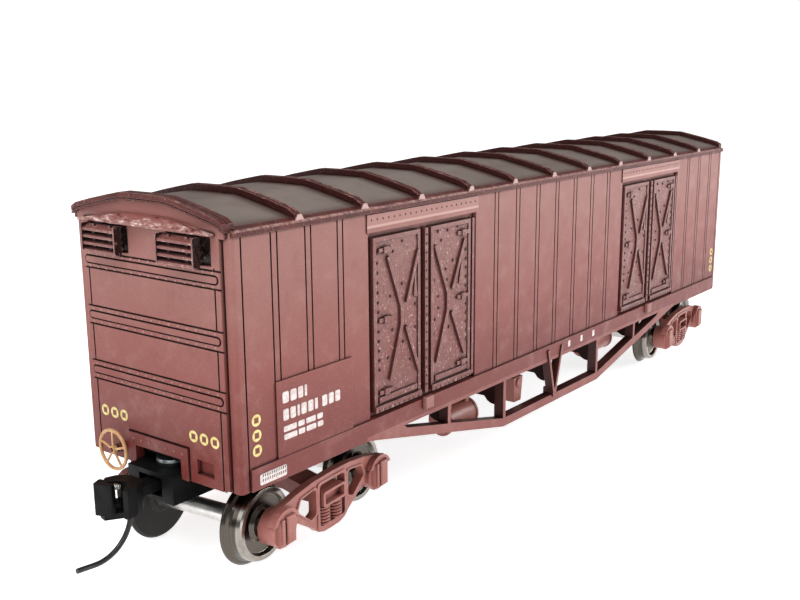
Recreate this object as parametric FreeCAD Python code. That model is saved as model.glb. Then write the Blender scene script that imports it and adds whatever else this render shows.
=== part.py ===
import FreeCAD, Part
import math
import os

# Model bogie box wagon, 16.5 mm gauge. Millimetres, +Z up.
# The origin is under the middle of the wagon, where the wheel flanges stand.
# -X is the handwheel end, called front; -Y is the left side.
# The two ends are alike under a half turn about Z, apart from the handwheel.

V = FreeCAD.Vector
UP = V(0, 0, 1)

# Body
END_X = 71.6            # outer face of the end panel
POST_X = 71.16          # outer end face of the corner posts
WALL_Y = 13.65          # outer face of the planked side
SILL_Y = 13.95          # outer face of the side sill and the truss
INNER_X = 70.6
INNER_Y = 12.45
SILL_BOTTOM = 11.97
SILL_X = 69.75          # the raised sill stops short of the corner posts
SILL_TOP = 14.65
WALL_TOP = 42.1
FLOOR_BOTTOM = 13.4
FLOOR_TOP = 14.6
REBATE_TOP = 12.45      # the truss top chord fills the notch below this
REBATE_X = 49.0
GROOVE = 0.24           # width and depth of the moulded panel lines

BATTENS = (0.0, 6.04, 12.07, 18.11, 53.4, 59.1, 64.75)
BATTEN_WIDTH = 1.0
PLATE_X = (51.75, 65.3)     # raised number plate, low on the left of each side
PLATE_TOP = 24.1

# Door openings
DOOR_X = (23.6, 48.1)
DOOR_TOP = 39.35
HEADER_TOP = 41.65
DOOR_GAP = 0.75
LEAF_GAP = (1.45, 1.05)     # from the middle post line to the left and the right leaf
DOOR_BACK_Y = 12.95
LEAF_Y = 13.75
DOOR_SPLIT = 35.95
BAR_PROUD = 0.35
BRACE_Z = (35.9, 28.8, 26.4, 19.2)      # ends and bends of the door braces
HINGE_Z = (36.9, 27.7, 17.9)

# Roof: half width and height pairs of the rib tops
RIB_ARCH = ((0.0, 45.7), (4.0, 45.65), (6.25, 45.2), (9.3, 44.56), (12.3, 43.84), (13.45, 43.2))
PANEL_DROP = 0.85
ROOF_SKIN = 1.1
EAVE_Y = 13.95
RIB_PITCH = 11.85
RIB_SHIFT = -1.25       # the row of ribs sits a little toward the front end
RIB_WIDTH = 1.15
RIB_COUNT = 13
END_RIB_LAP = 0.5       # how far the front end rib stands over the end wall
END_RIB_LINE = (0.58, 0.72)     # depth of the line along the face of each end rib
RIB_GROOVE = 0.22       # width of the line along the top of every rib

# End walls
END_STRIPS = ((35.9, 37.95), (28.8, 31.1), (21.7, 24.1))
PANEL_Y = 12.1          # half width of the proud end panel
PANEL_GAP = 0.25
HEAD_Y = 12.9           # half width of the arched head of the end wall
END_RIB_Y = 13.25
SLOT_HALF = 11.64
SLOT_HEIGHT = 0.75
VENT_Y = (3.4, 10.8)
VENT_Z = (38.35, 41.8)
OPENING_Y = 4.15
OPENING_TOP = 14.44

# Side truss
CHORD_DEPTH = 1.35
CHORD_LOW = 4.5
KINK_X = 15.7
CHORD_END_X = 46.6
CHORD_END_Z = 11.5
BAY_TIP_X = 40.5        # where the outer bay of the truss closes
POSTS = (15.5, 30.5)
TRUSS_Y = 12.25

# Running gear
BOGIE_X = 55.8
HALF_WHEELBASE = 10.35
AXLE_Z = 5.54
FLANGE_R = 5.54
BOGIE_YAW = 6.2         # degrees, as it stands
FRAME_Y = (11.3, 12.4)      # inner and outer face of the side frame plate
DRUM_Y = 10.5               # inner end of the axle boxes
SPRING_Y = 11.6
LID_Y = 13.7
AXLE_R = 1.15
JOURNAL_R = 0.75
PIVOT_R = 0.9
FIT = 0.06              # radial clearance of a running fit

# Couplers
COUPLER_X = 69.7        # swing pivot of the coupler
CENTRE_POST_R = 1.2
BOX_FRONT = -73.2
BOX_BACK = -62.8
BOX_Y = 4.1
BOX_LOW = 8.95
BOX_TOP = 12.5
BOX_LID = 0.6
CAVITY_TOP = 11.9
KNUCKLE_AT = (-77.6, 1.9)
TRIP_R = 0.32

# Handwheel on the front end
HANDWHEEL_AT = (-73.2, 6.8, 13.65)
HANDWHEEL_R = 2.72


def box(x0, x1, y0, y1, z0, z1):
    return Part.makeBox(x1 - x0, y1 - y0, z1 - z0, V(x0, y0, z0))


def rod(radius, start, end):
    run = V(*end) - V(*start)
    return Part.makeCylinder(radius, run.Length, V(*start), run)


def polygon(points):
    return Part.Face(Part.makePolygon(points + points[:1]))


def slab_x(points, x0, x1):
    """A (y, z) outline drawn out along X."""
    return polygon([V(x0, y, z) for y, z in points]).extrude(V(x1 - x0, 0, 0))


def slab_y(points, y0, y1):
    """An (x, z) outline drawn out along Y."""
    return polygon([V(x, y0, z) for x, z in points]).extrude(V(0, y1 - y0, 0))


def slab_z(points, z0, z1):
    """An (x, y) outline drawn out along Z."""
    return polygon([V(x, y, z0) for x, y in points]).extrude(V(0, 0, z1 - z0))


def fuse(shapes):
    first, *rest = shapes
    return first.fuse(rest).removeSplitter()


def half_turn(shape):
    turned = shape.copy()
    turned.rotate(V(0, 0, 0), UP, 180)
    return turned


def flipped_y(shape):
    return shape.mirror(V(0, 0, 0), V(0, 1, 0))


def rounded_edges(shape, radius, keep):
    """Fillet the straight edges whose middle passes the test keep."""
    edges = [edge for edge in shape.Edges if keep(edge.CenterOfMass)]
    return shape.makeFillet(radius, edges)


def bar(start, end, width, y0, y1):
    """A straight flat bar in a side plane, from (x, z) to (x, z)."""
    dx, dz = end[0] - start[0], end[1] - start[1]
    length = math.hypot(dx, dz)
    sx, sz = -dz / length * width / 2, dx / length * width / 2
    corners = [
        (start[0] + sx, start[1] + sz),
        (start[0] - sx, start[1] - sz),
        (end[0] - sx, end[1] - sz),
        (end[0] + sx, end[1] + sz),
    ]
    return slab_y(corners, y0, y1)


def mirrored_outline(half):
    """Close a half outline given for y >= 0 into a symmetric one."""
    return [(-y, z) for y, z in reversed(half)] + [(y, z) for y, z in half if y > 0]


def arch(drop):
    return [(y, z - drop) for y, z in RIB_ARCH]


# ---------------------------------------------------------------- body shell

def stadium(x, half, height, z, depth):
    """A long rounded bar standing across the end, depth long from x towards -X."""
    radius = height / 2
    middle = box(x - depth, x, -half + radius, half - radius, z - radius, z + radius)
    ends = [rod(radius, (x - depth, s * (half - radius), z), (x, s * (half - radius), z)) for s in (-1, 1)]
    return fuse([middle] + ends)


def end_head():
    """The arched top of the front end wall, which the end rib of the roof lies on."""
    arch_line = mirrored_outline(arch(PANEL_DROP + 0.1))
    head = slab_x([(-13.45, 41.6)] + arch_line + [(13.45, 41.6)], -END_X, -INNER_X)
    corners = [box(-END_X - 1, -POST_X, *sorted((side * HEAD_Y, side * 14)), 41, 46) for side in (-1, 1)]
    return head.cut(corners)


def end_pocket():
    """The square blind pocket low on the right of the front end."""
    return box(-END_X - 1, -END_X + 0.6, -9.66, -6.74, 13.14, 15.03)


def end_wall():
    """The front end wall, with its vents, pressed strips and coupler opening."""
    centre = box(-END_X, -INNER_X, -PANEL_Y, PANEL_Y, SILL_BOTTOM, 42.0)
    solid = fuse([centre, end_head()])
    header = slab_x([(-11.6, 41.9), (-11.6, 42.1), (-4, 43.2), (0, 43.4), (4, 43.2), (11.6, 42.1),
                     (11.6, 41.9)], -END_X - 0.9, -END_X)
    slope = slab_y([(-END_X - 0.9, 42.2), (-END_X - 0.75, 42.7), (-END_X - 0.4, 43.15), (-END_X, 43.4),
                    (-END_X, 44), (-END_X - 2, 44), (-END_X - 2, 42.2)], -12, 12)
    lintel = fuse([box(-END_X - 0.25, -END_X, -5.35, 5.35, OPENING_TOP, 15.98)]
                  + [box(-END_X - 0.25, -END_X, s * 4.75 - 0.6, s * 4.75 + 0.6, SILL_BOTTOM, 15.0)
                     for s in (-1, 1)])
    solid = fuse([solid, header.cut(slope), lintel])
    cuts = [box(-END_X - 1, -INNER_X + 1, -OPENING_Y, OPENING_Y, SILL_BOTTOM - 1, OPENING_TOP)]
    for side in (-1, 1):
        y0, y1 = sorted((side * VENT_Y[0], side * VENT_Y[1]))
        cuts.append(box(-END_X - 1, -INNER_X + 1, y0, y1, *VENT_Z))
        corner = [(side * 11.5, SILL_BOTTOM - 1), (side * 11.5, 12.1), (side * 13.2, 12.8),
                  (side * 14.5, 13.4), (side * 14.5, SILL_BOTTOM - 1)]
        cuts.append(slab_x(corner, -END_X - 1, -POST_X))
    cuts.append(end_pocket())
    skin = -END_X + GROOVE
    frame_line = box(-END_X - 1, skin, -5.6, 5.6, SILL_BOTTOM - 1, 16.2)
    cuts.append(frame_line.cut(box(-END_X - 2, skin + 1, -5.35, 5.35, SILL_BOTTOM - 2, 15.98)))
    panel_edges = [SILL_BOTTOM] + [z for strip in reversed(END_STRIPS) for z in strip] + [VENT_Z[0] - 0.1]
    for z in panel_edges[1:-1]:
        cuts.append(box(-END_X - 1, skin, -12.1, 12.1, z - GROOVE / 2, z + GROOVE / 2))
    for low, high in zip(panel_edges[0::2], panel_edges[1::2]):
        for side in (-1, 1):
            y = side * 11.2
            cuts.append(box(-END_X - 1, skin, y - GROOVE / 2, y + GROOVE / 2, low, high))
    bars = []
    for low, high in END_STRIPS:
        middle = (low + high) / 2
        cuts.append(stadium(skin, SLOT_HALF + 0.2, SLOT_HEIGHT + 0.4, middle, 1.0))
        bars.append(stadium(skin + 0.1, SLOT_HALF, SLOT_HEIGHT, middle, GROOVE + 0.18))
    return fuse([solid.cut(cuts)] + bars)


def side_panel_lines():
    """Grooves cut into the left side: plank battens, door recesses and the end post lines."""
    depth_y = -WALL_Y + GROOVE
    cuts = []
    for x in sorted({s * b for s in (-1, 1) for b in BATTENS}):
        low = PLATE_TOP if -PLATE_X[1] < x < -PLATE_X[0] else SILL_TOP
        for edge in (-BATTEN_WIDTH / 2, BATTEN_WIDTH / 2):
            at = x + edge
            cuts.append(box(at - GROOVE / 2, at + GROOVE / 2, -WALL_Y - 1, depth_y, low, 41.75))
    for side in (-1, 1):
        x = side * (SILL_X + 0.1)
        cuts.append(box(x - GROOVE / 2, x + GROOVE / 2, -WALL_Y - 1, depth_y, SILL_BOTTOM, 41.75))
        x0, x1 = sorted((side * (POST_X - 0.3), side * (END_X + 1)))
        cuts.append(box(x0, x1, -PANEL_Y - PANEL_GAP, -PANEL_Y, SILL_BOTTOM, 41.5))
        cuts.append(box(x0, x1, PANEL_Y, PANEL_Y + PANEL_GAP, SILL_BOTTOM, 41.5))
        x0, x1 = sorted((side * DOOR_X[0], side * DOOR_X[1]))
        cuts.append(box(x0, x1, -SILL_Y - 1, -DOOR_BACK_Y, SILL_TOP, DOOR_TOP))
    return cuts


def side_plates():
    """Raised work on the left side: sill, door headers and the number plate."""
    raised = [box(-SILL_X, SILL_X, -SILL_Y, -WALL_Y, SILL_BOTTOM, SILL_TOP)]
    for side in (-1, 1):
        x0, x1 = sorted((side * (DOOR_X[0] - 0.3), side * (DOOR_X[1] + 0.3)))
        raised.append(box(x0, x1, -WALL_Y - 0.18, -WALL_Y, DOOR_TOP, HEADER_TOP))
    raised.append(box(-PLATE_X[1], -PLATE_X[0], -WALL_Y - 0.2, -WALL_Y, SILL_TOP, PLATE_TOP))
    return raised


def body_shell():
    """Both sides and both ends in one moulding, open at the top and the bottom."""
    tube = box(-POST_X, POST_X, -WALL_Y, WALL_Y, SILL_BOTTOM, WALL_TOP)
    tube = rounded_edges(tube, 0.5, lambda c: abs(c.x) > 71 and abs(c.y) > 13.6)
    sides = side_plates()
    ends = end_wall()
    both = [half_turn(shape) for shape in sides + [ends]]
    inside = box(-INNER_X, INNER_X, -INNER_Y, INNER_Y, SILL_BOTTOM - 1, 50)
    gaps = [inside]
    for side in (-1, 1):
        y0, y1 = sorted((side * (INNER_Y - 1), side * (SILL_Y + 1)))
        gaps.append(box(-REBATE_X, REBATE_X, y0, y1, SILL_BOTTOM - 1, REBATE_TOP))
        x0, x1 = sorted((side * (INNER_X - 1), side * (END_X + 1)))
        gaps.append(box(x0, x1, -OPENING_Y, OPENING_Y, SILL_BOTTOM - 1, OPENING_TOP))
        for end in (-1, 1):
            y0, y1 = sorted((end * VENT_Y[0], end * VENT_Y[1]))
            gaps.append(box(x0, x1, y0, y1, *VENT_Z))
    lines = side_panel_lines()
    lines += [half_turn(line) for line in lines]
    shell = fuse([tube.cut(gaps)] + [shape.cut(gaps[1:]) for shape in sides + both[:-1]])
    plain_end = box(-END_X - 1, -INNER_X, -PANEL_Y, PANEL_Y, SILL_BOTTOM - 1, 50)
    shell = shell.cut(lines + [plain_end, half_turn(plain_end)])
    return fuse([shell, ends, both[-1]])


def end_vent(side):
    """One louvred vent of the front end: a sunk plate, two ribs and four slats between cheeks."""
    y0, y1 = sorted((side * 3.6, side * 9.9))
    plate_y = sorted((side * (VENT_Y[0] + 0.02), side * (VENT_Y[1] - 0.02)))
    front = -END_X - 1.8
    pieces = [box(-INNER_X - 0.35, -INNER_X - 0.02, *plate_y, VENT_Z[0] + 0.02, VENT_Z[1] - 0.02)]
    for y in (5.2, 8.2):
        pieces.append(box(front + 0.6, -INNER_X - 0.2, side * y - 0.2, side * y + 0.2, 38.8, 41.6))
    for index in range(4):
        z = 38.8 + 0.85 * index
        slat = [(front + 0.12, z - 0.5), (front + 0.12, z - 0.22), (front + 1.2, z + 0.3),
                (front + 1.2, z + 0.06)]
        pieces.append(slab_y(slat, y0, y1))
    for y in (y0, y1 - 0.22):
        cheek = [(front + 0.25, 38.3), (front, 38.5), (front, 41.5), (front + 0.2, 41.7),
                 (front + 1.0, 41.7), (front + 1.0, 38.3)]
        pieces.append(slab_y(cheek, y, y + 0.22))
    return fuse(pieces)


def end_vents():
    return Part.makeCompound([end_vent(side) for side in (-1, 1)])


# ---------------------------------------------------------------------- roof

def roof():
    """Arched panels with a footed rib at every joint and a straight eave along each side."""
    panel = arch(PANEL_DROP)
    inner = [(y, z - ROOF_SKIN) for y, z in panel if y < INNER_Y - 1]
    half = panel[:-1] + [(12.9, 42.85), (13.6, 42.6), (EAVE_Y, 42.4), (EAVE_Y, 41.78), (WALL_Y, 41.78),
                         (WALL_Y, WALL_TOP), (INNER_Y, WALL_TOP), (11.6, 42.5)] + inner[::-1]
    skin = slab_x([(-y, z) for y, z in half if y > 0][::-1] + half, -INNER_X, INNER_X)
    eave = [(13.45, 42.58), (EAVE_Y, 42.4), (EAVE_Y, 41.78), (WALL_Y, 41.78), (WALL_Y, WALL_TOP),
            (13.45, WALL_TOP)]
    rib = mirrored_outline(list(RIB_ARCH) + [(13.5, 42.5)])
    line = mirrored_outline(arch(-1.0)) + mirrored_outline(arch(0.14))[::-1]
    under = mirrored_outline(arch(PANEL_DROP + 0.1) + [(13.5, 42.4)])
    outline = rib + under[::-1]
    face_line = (mirrored_outline(arch(END_RIB_LINE[0]))
                 + mirrored_outline(arch(END_RIB_LINE[1]))[::-1])
    pieces = [skin]
    lines = [slab_x(face_line, -END_X - END_RIB_LAP - 1, -END_X - END_RIB_LAP + 0.15),
             slab_x(face_line, END_X - 0.05, END_X + 1)]
    for index in range(RIB_COUNT):
        x = (index - RIB_COUNT // 2) * RIB_PITCH + RIB_SHIFT
        x0, x1 = x - RIB_WIDTH / 2, x + RIB_WIDTH / 2
        if index == 0:
            x0, x1 = -END_X - END_RIB_LAP, -INNER_X + 0.3
        elif index == RIB_COUNT - 1:
            x0, x1 = INNER_X - 0.3, END_X + 0.1
        else:
            foot = [(x - 0.85, 42.35), (x + 0.85, 42.35), (x + 0.3, 43.2), (x - 0.3, 43.2)]
            foot = slab_y(foot, 13.2, 13.8)
            pieces += [foot, flipped_y(foot)]
        middle = (x0 + x1) / 2
        solid = slab_x(outline, x0, x1)
        if index in (0, RIB_COUNT - 1):
            solid = solid.common(box(x0 - 1, x1 + 1, -END_RIB_Y, END_RIB_Y, 40, 50))
        pieces.append(solid)
        lines.append(slab_x(line, middle - RIB_GROOVE / 2, middle + RIB_GROOVE / 2))
    for side in (-1, 1):
        x0, x1 = sorted((side * (INNER_X - 0.1), side * POST_X))
        for end in (-1, 1):
            pieces.append(slab_x([(end * y, z) for y, z in eave], x0, x1))
    return fuse(pieces).cut(lines + [end_head(), half_turn(end_head())])


# --------------------------------------------------------------------- doors

def door_leaf(x0, x1, brace, hinge_x):
    """One leaf from x0 to x1; brace holds the x of its left foot, its bend and its right foot."""
    z0, z1 = SILL_TOP + DOOR_GAP, DOOR_TOP - DOOR_GAP
    front = -LEAF_Y - BAR_PROUD
    back = -LEAF_Y + 0.1
    hem = 0.55
    pieces = [
        box(x0, x1, -LEAF_Y, -DOOR_BACK_Y, z0, z1),
        box(x0, x0 + hem, -LEAF_Y - 0.15, back, z0, z1),
        box(x1 - hem, x1, -LEAF_Y - 0.15, back, z0, z1),
        box(x0, x1, -LEAF_Y - 0.15, back, z1 - hem, z1),
        box(x0, x1, -LEAF_Y - 0.4, back, z0, z0 + 0.8),
        box(x0 + 0.9, x1 - 0.9, -LEAF_Y - 0.25, back, z0 + 1.2, z0 + 1.9),
    ]
    left, bend, right = brace
    top, upper, lower, foot = BRACE_Z
    runs = [
        ((left, top), (bend, upper)),
        ((bend, upper + 0.2), (bend, lower - 0.2)),
        ((bend, lower), (left + 0.4, foot)),
        ((right, top), (bend + 1.2, upper + 0.4)),
        ((bend + 1.0, lower - 0.5), (right, foot)),
    ]
    pieces += [bar(start, end, 0.5, front, back) for start, end in runs]
    gusset = [(right - 0.2, upper + 0.7), (bend + 2.8, upper + 0.9), (right - 0.7, upper + 4.2)]
    pieces.append(slab_y(gusset, -LEAF_Y - 0.2, back))
    for z in HINGE_Z:
        pieces.append(box(hinge_x - 1.4, hinge_x + 1.4, -LEAF_Y - 0.3, back, z - 0.25, z + 0.25))
        pieces.append(box(hinge_x - 0.5, hinge_x + 0.5, -LEAF_Y - 0.45, back, z - 0.4, z + 0.4))
    return pieces


def door_pair():
    """The left front door casting: two leaves and the post that covers their joint."""
    x0, x1 = -DOOR_X[1] + DOOR_GAP, -DOOR_X[0] - DOOR_GAP
    pieces = door_leaf(x0, -DOOR_SPLIT - LEAF_GAP[0], (-44.5, -41.7, -37.9), -45.0)
    pieces += door_leaf(-DOOR_SPLIT + LEAF_GAP[1], x1 - 1.0, (-34.1, -31.1, -26.9), -27.3)
    z0, z1 = SILL_TOP + DOOR_GAP, DOOR_TOP - DOOR_GAP
    pieces.append(box(x0, x1, -LEAF_Y + 0.65, -DOOR_BACK_Y, z0, z1))
    pieces.append(box(-DOOR_SPLIT - 0.32, -DOOR_SPLIT + 0.32, -LEAF_Y - 0.15, -DOOR_BACK_Y, z0, z1))
    pieces.append(box(x1 - 0.45, x1, -LEAF_Y - 0.1, -DOOR_BACK_Y, z0, z1))
    return fuse(pieces)


def door_keepers():
    """The four square catches that hold the doors at the sill."""
    blocks = []
    for x in (-DOOR_SPLIT, DOOR_SPLIT):
        block = box(x - 0.95, x + 0.95, -SILL_Y - 0.6, -SILL_Y, 13.2, 14.9)
        block = rounded_edges(block, 0.2, lambda c: c.y < -SILL_Y - 0.59)
        blocks += [block, flipped_y(block)]
    return Part.makeCompound(blocks)


# ---------------------------------------------------------------- underframe

def chord_bottom(x):
    slope = (CHORD_END_Z - CHORD_LOW) / (CHORD_END_X - KINK_X)
    return CHORD_LOW + max(0.0, abs(x) - KINK_X) * slope


def chord_top(x):
    return chord_bottom(x) + CHORD_DEPTH


def side_truss():
    """The left truss, with its posts and the V hanger at the middle."""
    outline = [(-REBATE_X, REBATE_TOP), (REBATE_X, REBATE_TOP), (REBATE_X, SILL_BOTTOM),
               (CHORD_END_X, CHORD_END_Z), (KINK_X, CHORD_LOW), (-KINK_X, CHORD_LOW),
               (-CHORD_END_X, CHORD_END_Z), (-REBATE_X, SILL_BOTTOM)]
    frame = slab_y(outline, -SILL_Y, -TRUSS_Y)
    half_post = 0.35
    inner, outer = POSTS
    gaps = [
        [(inner + half_post, SILL_BOTTOM), (outer - half_post, SILL_BOTTOM),
         (outer - half_post, chord_top(outer)), (inner + half_post, chord_top(inner + half_post))],
        [(outer + half_post, SILL_BOTTOM), (BAY_TIP_X + 0.7, SILL_BOTTOM),
         (BAY_TIP_X, chord_top(BAY_TIP_X)), (outer + half_post, chord_top(outer + half_post))],
    ]
    cuts = [slab_y([(side * x, z) for x, z in gap], -SILL_Y - 1, -TRUSS_Y + 1)
            for gap in gaps for side in (-1, 1)]
    cuts.append(box(-inner + half_post, inner - half_post, -SILL_Y - 1, -TRUSS_Y + 1,
                    CHORD_LOW + CHORD_DEPTH, SILL_BOTTOM))
    frame = frame.cut(cuts)
    hanger = []
    for side in (-1, 1):
        leg = bar((side * 2.3, 13.9), (side * 0.25, 6.3), 0.5, -SILL_Y - 0.25, -TRUSS_Y - 0.5)
        hanger.append(leg)
    hanger.append(box(-0.55, 0.55, -SILL_Y - 0.25, -TRUSS_Y, 5.5, 6.9))
    hanger = fuse(hanger).cut(box(-5, 5, -SILL_Y, -TRUSS_Y + 1, REBATE_TOP, 20))
    return fuse([frame, hanger])


def cross_bearers():
    """The five bulkheads that tie the two trusses together under the floor."""
    pieces = []
    for x in (-POSTS[1], -POSTS[0], 0.0, POSTS[0], POSTS[1]):
        foot = max(chord_top(x) + 0.1, 7.9)
        middle = max(9.0, foot + 0.9)
        half = [(0, FLOOR_BOTTOM), (TRUSS_Y, FLOOR_BOTTOM), (TRUSS_Y, foot), (11.6, foot + 0.1),
                (11.0, foot + 0.4), (10.4, middle), (0, middle)]
        outline = half + [(-y, z) for y, z in reversed(half) if y > 0]
        pieces.append(slab_x(outline, x - 0.45, x + 0.45))
    sill_slot = box(-62, 62, -2.2, 2.2, 9.9, FLOOR_BOTTOM)
    return Part.makeCompound([piece.cut(sill_slot) for piece in pieces])


def centre_sill():
    """The channel down the middle, stopped short of the bogie pivots."""
    half_length = BOGIE_X - 4.0
    channel = box(-half_length, half_length, -2.2, 2.2, 9.9, FLOOR_BOTTOM)
    return channel.cut(box(-half_length - 1, half_length + 1, -1.4, 1.4, 8, FLOOR_BOTTOM - 0.9))


def coupler_pocket():
    """The ribs under the front of the floor that the coupler box sits between."""
    back = BOX_BACK + 0.8
    outer, inner = BOX_Y + 0.9, BOX_Y + 0.2
    block = box(-INNER_X, back + 0.8, -outer, outer, BOX_TOP - 0.4, FLOOR_BOTTOM + 0.1)
    return block.cut(box(-INNER_X - 1, back, -inner, inner, BOX_TOP - 1, FLOOR_BOTTOM))


def floor():
    """The floor plate with the bosses that the bogies turn under and the coupler pockets."""
    plate = box(-INNER_X, INNER_X, -INNER_Y, INNER_Y, FLOOR_BOTTOM, FLOOR_TOP)
    bosses = [rod(3.2, (s * BOGIE_X, 0, 10.0), (s * BOGIE_X, 0, FLOOR_BOTTOM + 0.5)) for s in (-1, 1)]
    holes = [rod(PIVOT_R, (s * BOGIE_X, 0, 9), (s * BOGIE_X, 0, FLOOR_TOP + 1)) for s in (-1, 1)]
    holes += [rod(0.8, (s * COUPLER_X, 0, 9), (s * COUPLER_X, 0, FLOOR_TOP + 1)) for s in (-1, 1)]
    pockets = [coupler_pocket(), half_turn(coupler_pocket())]
    return fuse([plate] + bosses + pockets).cut(holes)


def ballast_weight():
    weight = box(-45, 45, -10, 10, FLOOR_TOP, FLOOR_TOP + 2.0)
    return rounded_edges(weight, 0.6, lambda c: abs(c.x) > 44.9 and abs(c.y) > 9.9)


def tank(x0, x1, y, z, radius, crown):
    """A lying cylinder with crowned ends, end beads and two straps up to the floor."""
    body = rod(radius, (x0 + crown, y, z), (x1 - crown, y, z))
    dome = [rod(radius - 0.3, (x0 + crown * 0.4, y, z), (x1 - crown * 0.4, y, z)),
            rod(radius - 1.0, (x0, y, z), (x1, y, z))]
    beads = [rod(radius + 0.15, (x - 0.2, y, z), (x + 0.2, y, z)) for x in (x0 + crown, x1 - crown)]
    straps = [box(x - 0.5, x + 0.5, y - 0.9, y + 0.9, z, FLOOR_BOTTOM)
              for x in (x0 + 2 * crown, x1 - 2 * crown)]
    return fuse([body] + dome + beads + straps)


def brake_cylinder():
    return tank(-27.2, -18.8, -9.5, 7.4, 2.1, 0.9)


def air_reservoir():
    return tank(18.2, 28.4, -8.8, 9.2, 1.9, 0.9)


def control_valve():
    """The distributor that hangs between the V hanger and the brake cylinder."""
    taper = slab_y([(-8.3, 10.0), (-5.6, 10.0), (-6.1, 5.9), (-8.1, 5.9)], -11.2, -8.9)
    stem = box(-7.8, -6.0, -10.8, -9.2, 9.5, FLOOR_BOTTOM)
    cap = rod(0.75, (-6.95, -11.5, 9.1), (-6.95, -10.0, 9.1))
    return fuse([taper, stem, cap])


# ------------------------------------------------------------ handwheel end

def handwheel():
    x, y, z = HANDWHEEL_AT
    rim = Part.makeTorus(HANDWHEEL_R - 0.22, 0.22, V(x, y, z), V(1, 0, 0))
    pieces = [rim, rod(0.5, (x - 0.3, y, z), (x + 0.3, y, z))]
    for spoke in range(5):
        angle = math.radians(90 + 72 * spoke)
        reach = HANDWHEEL_R - 0.2
        tip = (x, y + reach * math.cos(angle), z + reach * math.sin(angle))
        pieces.append(rod(0.15, (x, y, z), tip))
    return fuse(pieces).cut(rod(0.3, (x - 1, y, z), (x + 1, y, z)))


def handwheel_spindle():
    x, y, z = HANDWHEEL_AT
    stub = rod(0.3, (x - 0.5, y, z), (-END_X, y, z))
    collar = rod(0.6, (x + 0.7, y, z), (-END_X, y, z))
    return fuse([stub, collar])


# -------------------------------------------------------------------- bogies

def placed_bogie(shape, end):
    """Turn a bogie piece to its stance and carry it to its pivot; end is -1 front, 1 rear."""
    placed = shape.copy()
    if end > 0:
        placed.rotate(V(0, 0, 0), UP, 180)
    placed.rotate(V(0, 0, 0), UP, BOGIE_YAW)
    placed.translate(V(end * BOGIE_X, 0, 0))
    return placed


def coil_column(x, y, low, high, radius):
    """A moulded coil spring, as a stack of rounded turns."""
    turns = 6
    pitch = (high - low) / turns
    core = rod(radius - 0.35, (x, y, low - 0.1), (x, y, high))
    rings = [Part.makeTorus(radius - pitch * 0.42, pitch * 0.42, V(x, y, low + pitch * (k + 0.5)), UP)
             for k in range(turns)]
    return fuse([core] + rings)


def window_rim(outline, centre, y0):
    """A window of a side frame: its hole and the raised lip that goes round it."""
    cx, cz = centre
    grown = [(cx + (x - cx) * 1.16, cz + (z - cz) * 1.13) for x, z in outline]
    lip = rounded_edges(slab_y(grown, y0 - 0.16, y0 + 0.1), 0.55, lambda c: abs(c.y - y0 + 0.03) < 0.05)
    hole = rounded_edges(slab_y(outline, y0 - 1, y0 + 4), 0.5, lambda c: abs(c.y - y0 - 1.5) < 0.1)
    return lip, hole


def frame_plate():
    """The cast plate of a left side frame, with its windows, before the axle boxes."""
    y0, y1 = -FRAME_Y[1], -FRAME_Y[0]
    half = [(0, 9.25), (4.0, 9.15), (7.4, 8.7), (10.9, 7.95), (11.9, 7.2), (11.9, 4.2), (10.4, 3.45),
            (8.5, 4.3), (7.3, 5.0), (3.7, 2.7), (2.9, 2.0), (1.7, 1.65), (0, 1.6)]
    outline = half + [(-x, z) for x, z in reversed(half) if x > 0]
    plate = slab_y(outline, y0, y1)
    plate = rounded_edges(plate, 0.3, lambda c: abs(c.x) > 3.1 and y0 < c.y < y1 and c.z < 5.2)
    window = [(7.35, 6.4), (6.6, 7.85), (3.5, 8.2), (3.5, 4.75), (4.6, 4.3)]
    middle = [(-2.75, 2.6), (-2.75, 8.3), (2.75, 8.3), (2.75, 2.6)]
    openings = [window_rim(middle, (0, 5.45), y0)]
    for side in (-1, 1):
        openings.append(window_rim([(side * x, z) for x, z in window], (side * 5.2, 6.3), y0))
    lips = [lip for lip, hole in openings]
    holes = [hole for lip, hole in openings]
    return fuse([plate] + lips).cut(holes)


def axle_box(x):
    """One axle box of a left side frame: drum, arched hood, lid in two parts and the lid bolt."""
    face = -FRAME_Y[1]
    drum = rod(2.3, (x, -DRUM_Y, AXLE_Z), (x, face - 0.5, AXLE_Z))
    hood = rod(2.65, (x, face + 0.3, AXLE_Z), (x, face - 0.9, AXLE_Z))
    hood = hood.cut([rod(2.2, (x, face + 1, AXLE_Z), (x, face - 2, AXLE_Z)),
                     box(x - 4, x + 4, face - 2, face + 1, 0, AXLE_Z + 1.1)])
    lid = box(x - 1.45, x + 1.45, -LID_Y + 0.45, face, 3.4, 8.0)
    lid = rounded_edges(lid, 0.4, lambda c: c.y < -LID_Y + 0.46 or abs(c.z - 5.7) > 2.2)
    cap = box(x - 0.45, x + 1.25, -LID_Y, -LID_Y + 0.5, 3.8, 7.4)
    cap = rounded_edges(cap, 0.25, lambda c: c.y < -LID_Y + 0.01)
    rib = box(x - 1.25, x - 0.8, -LID_Y + 0.12, -LID_Y + 0.5, 3.9, 7.2)
    bolt = rod(0.32, (x + 0.45, -LID_Y - 0.02, 4.7), (x + 0.45, -LID_Y + 0.2, 4.7))
    return [drum, hood, lid, cap, rib, bolt]


def side_frame():
    """A left side frame at the bogie's own centre, bored for its two bearing cups."""
    pieces = [frame_plate()]
    for x in (-HALF_WHEELBASE, HALF_WHEELBASE):
        pieces += axle_box(x)
    for x in (-1.3, 1.3):
        pieces.append(coil_column(x, -SPRING_Y, 2.5, 5.15, 1.22))
    bores = [rod(1.15, (x, -DRUM_Y + 1, AXLE_Z), (x, -13.0, AXLE_Z))
             for x in (-HALF_WHEELBASE, HALF_WHEELBASE)]
    return fuse(pieces).cut(bores)


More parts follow.
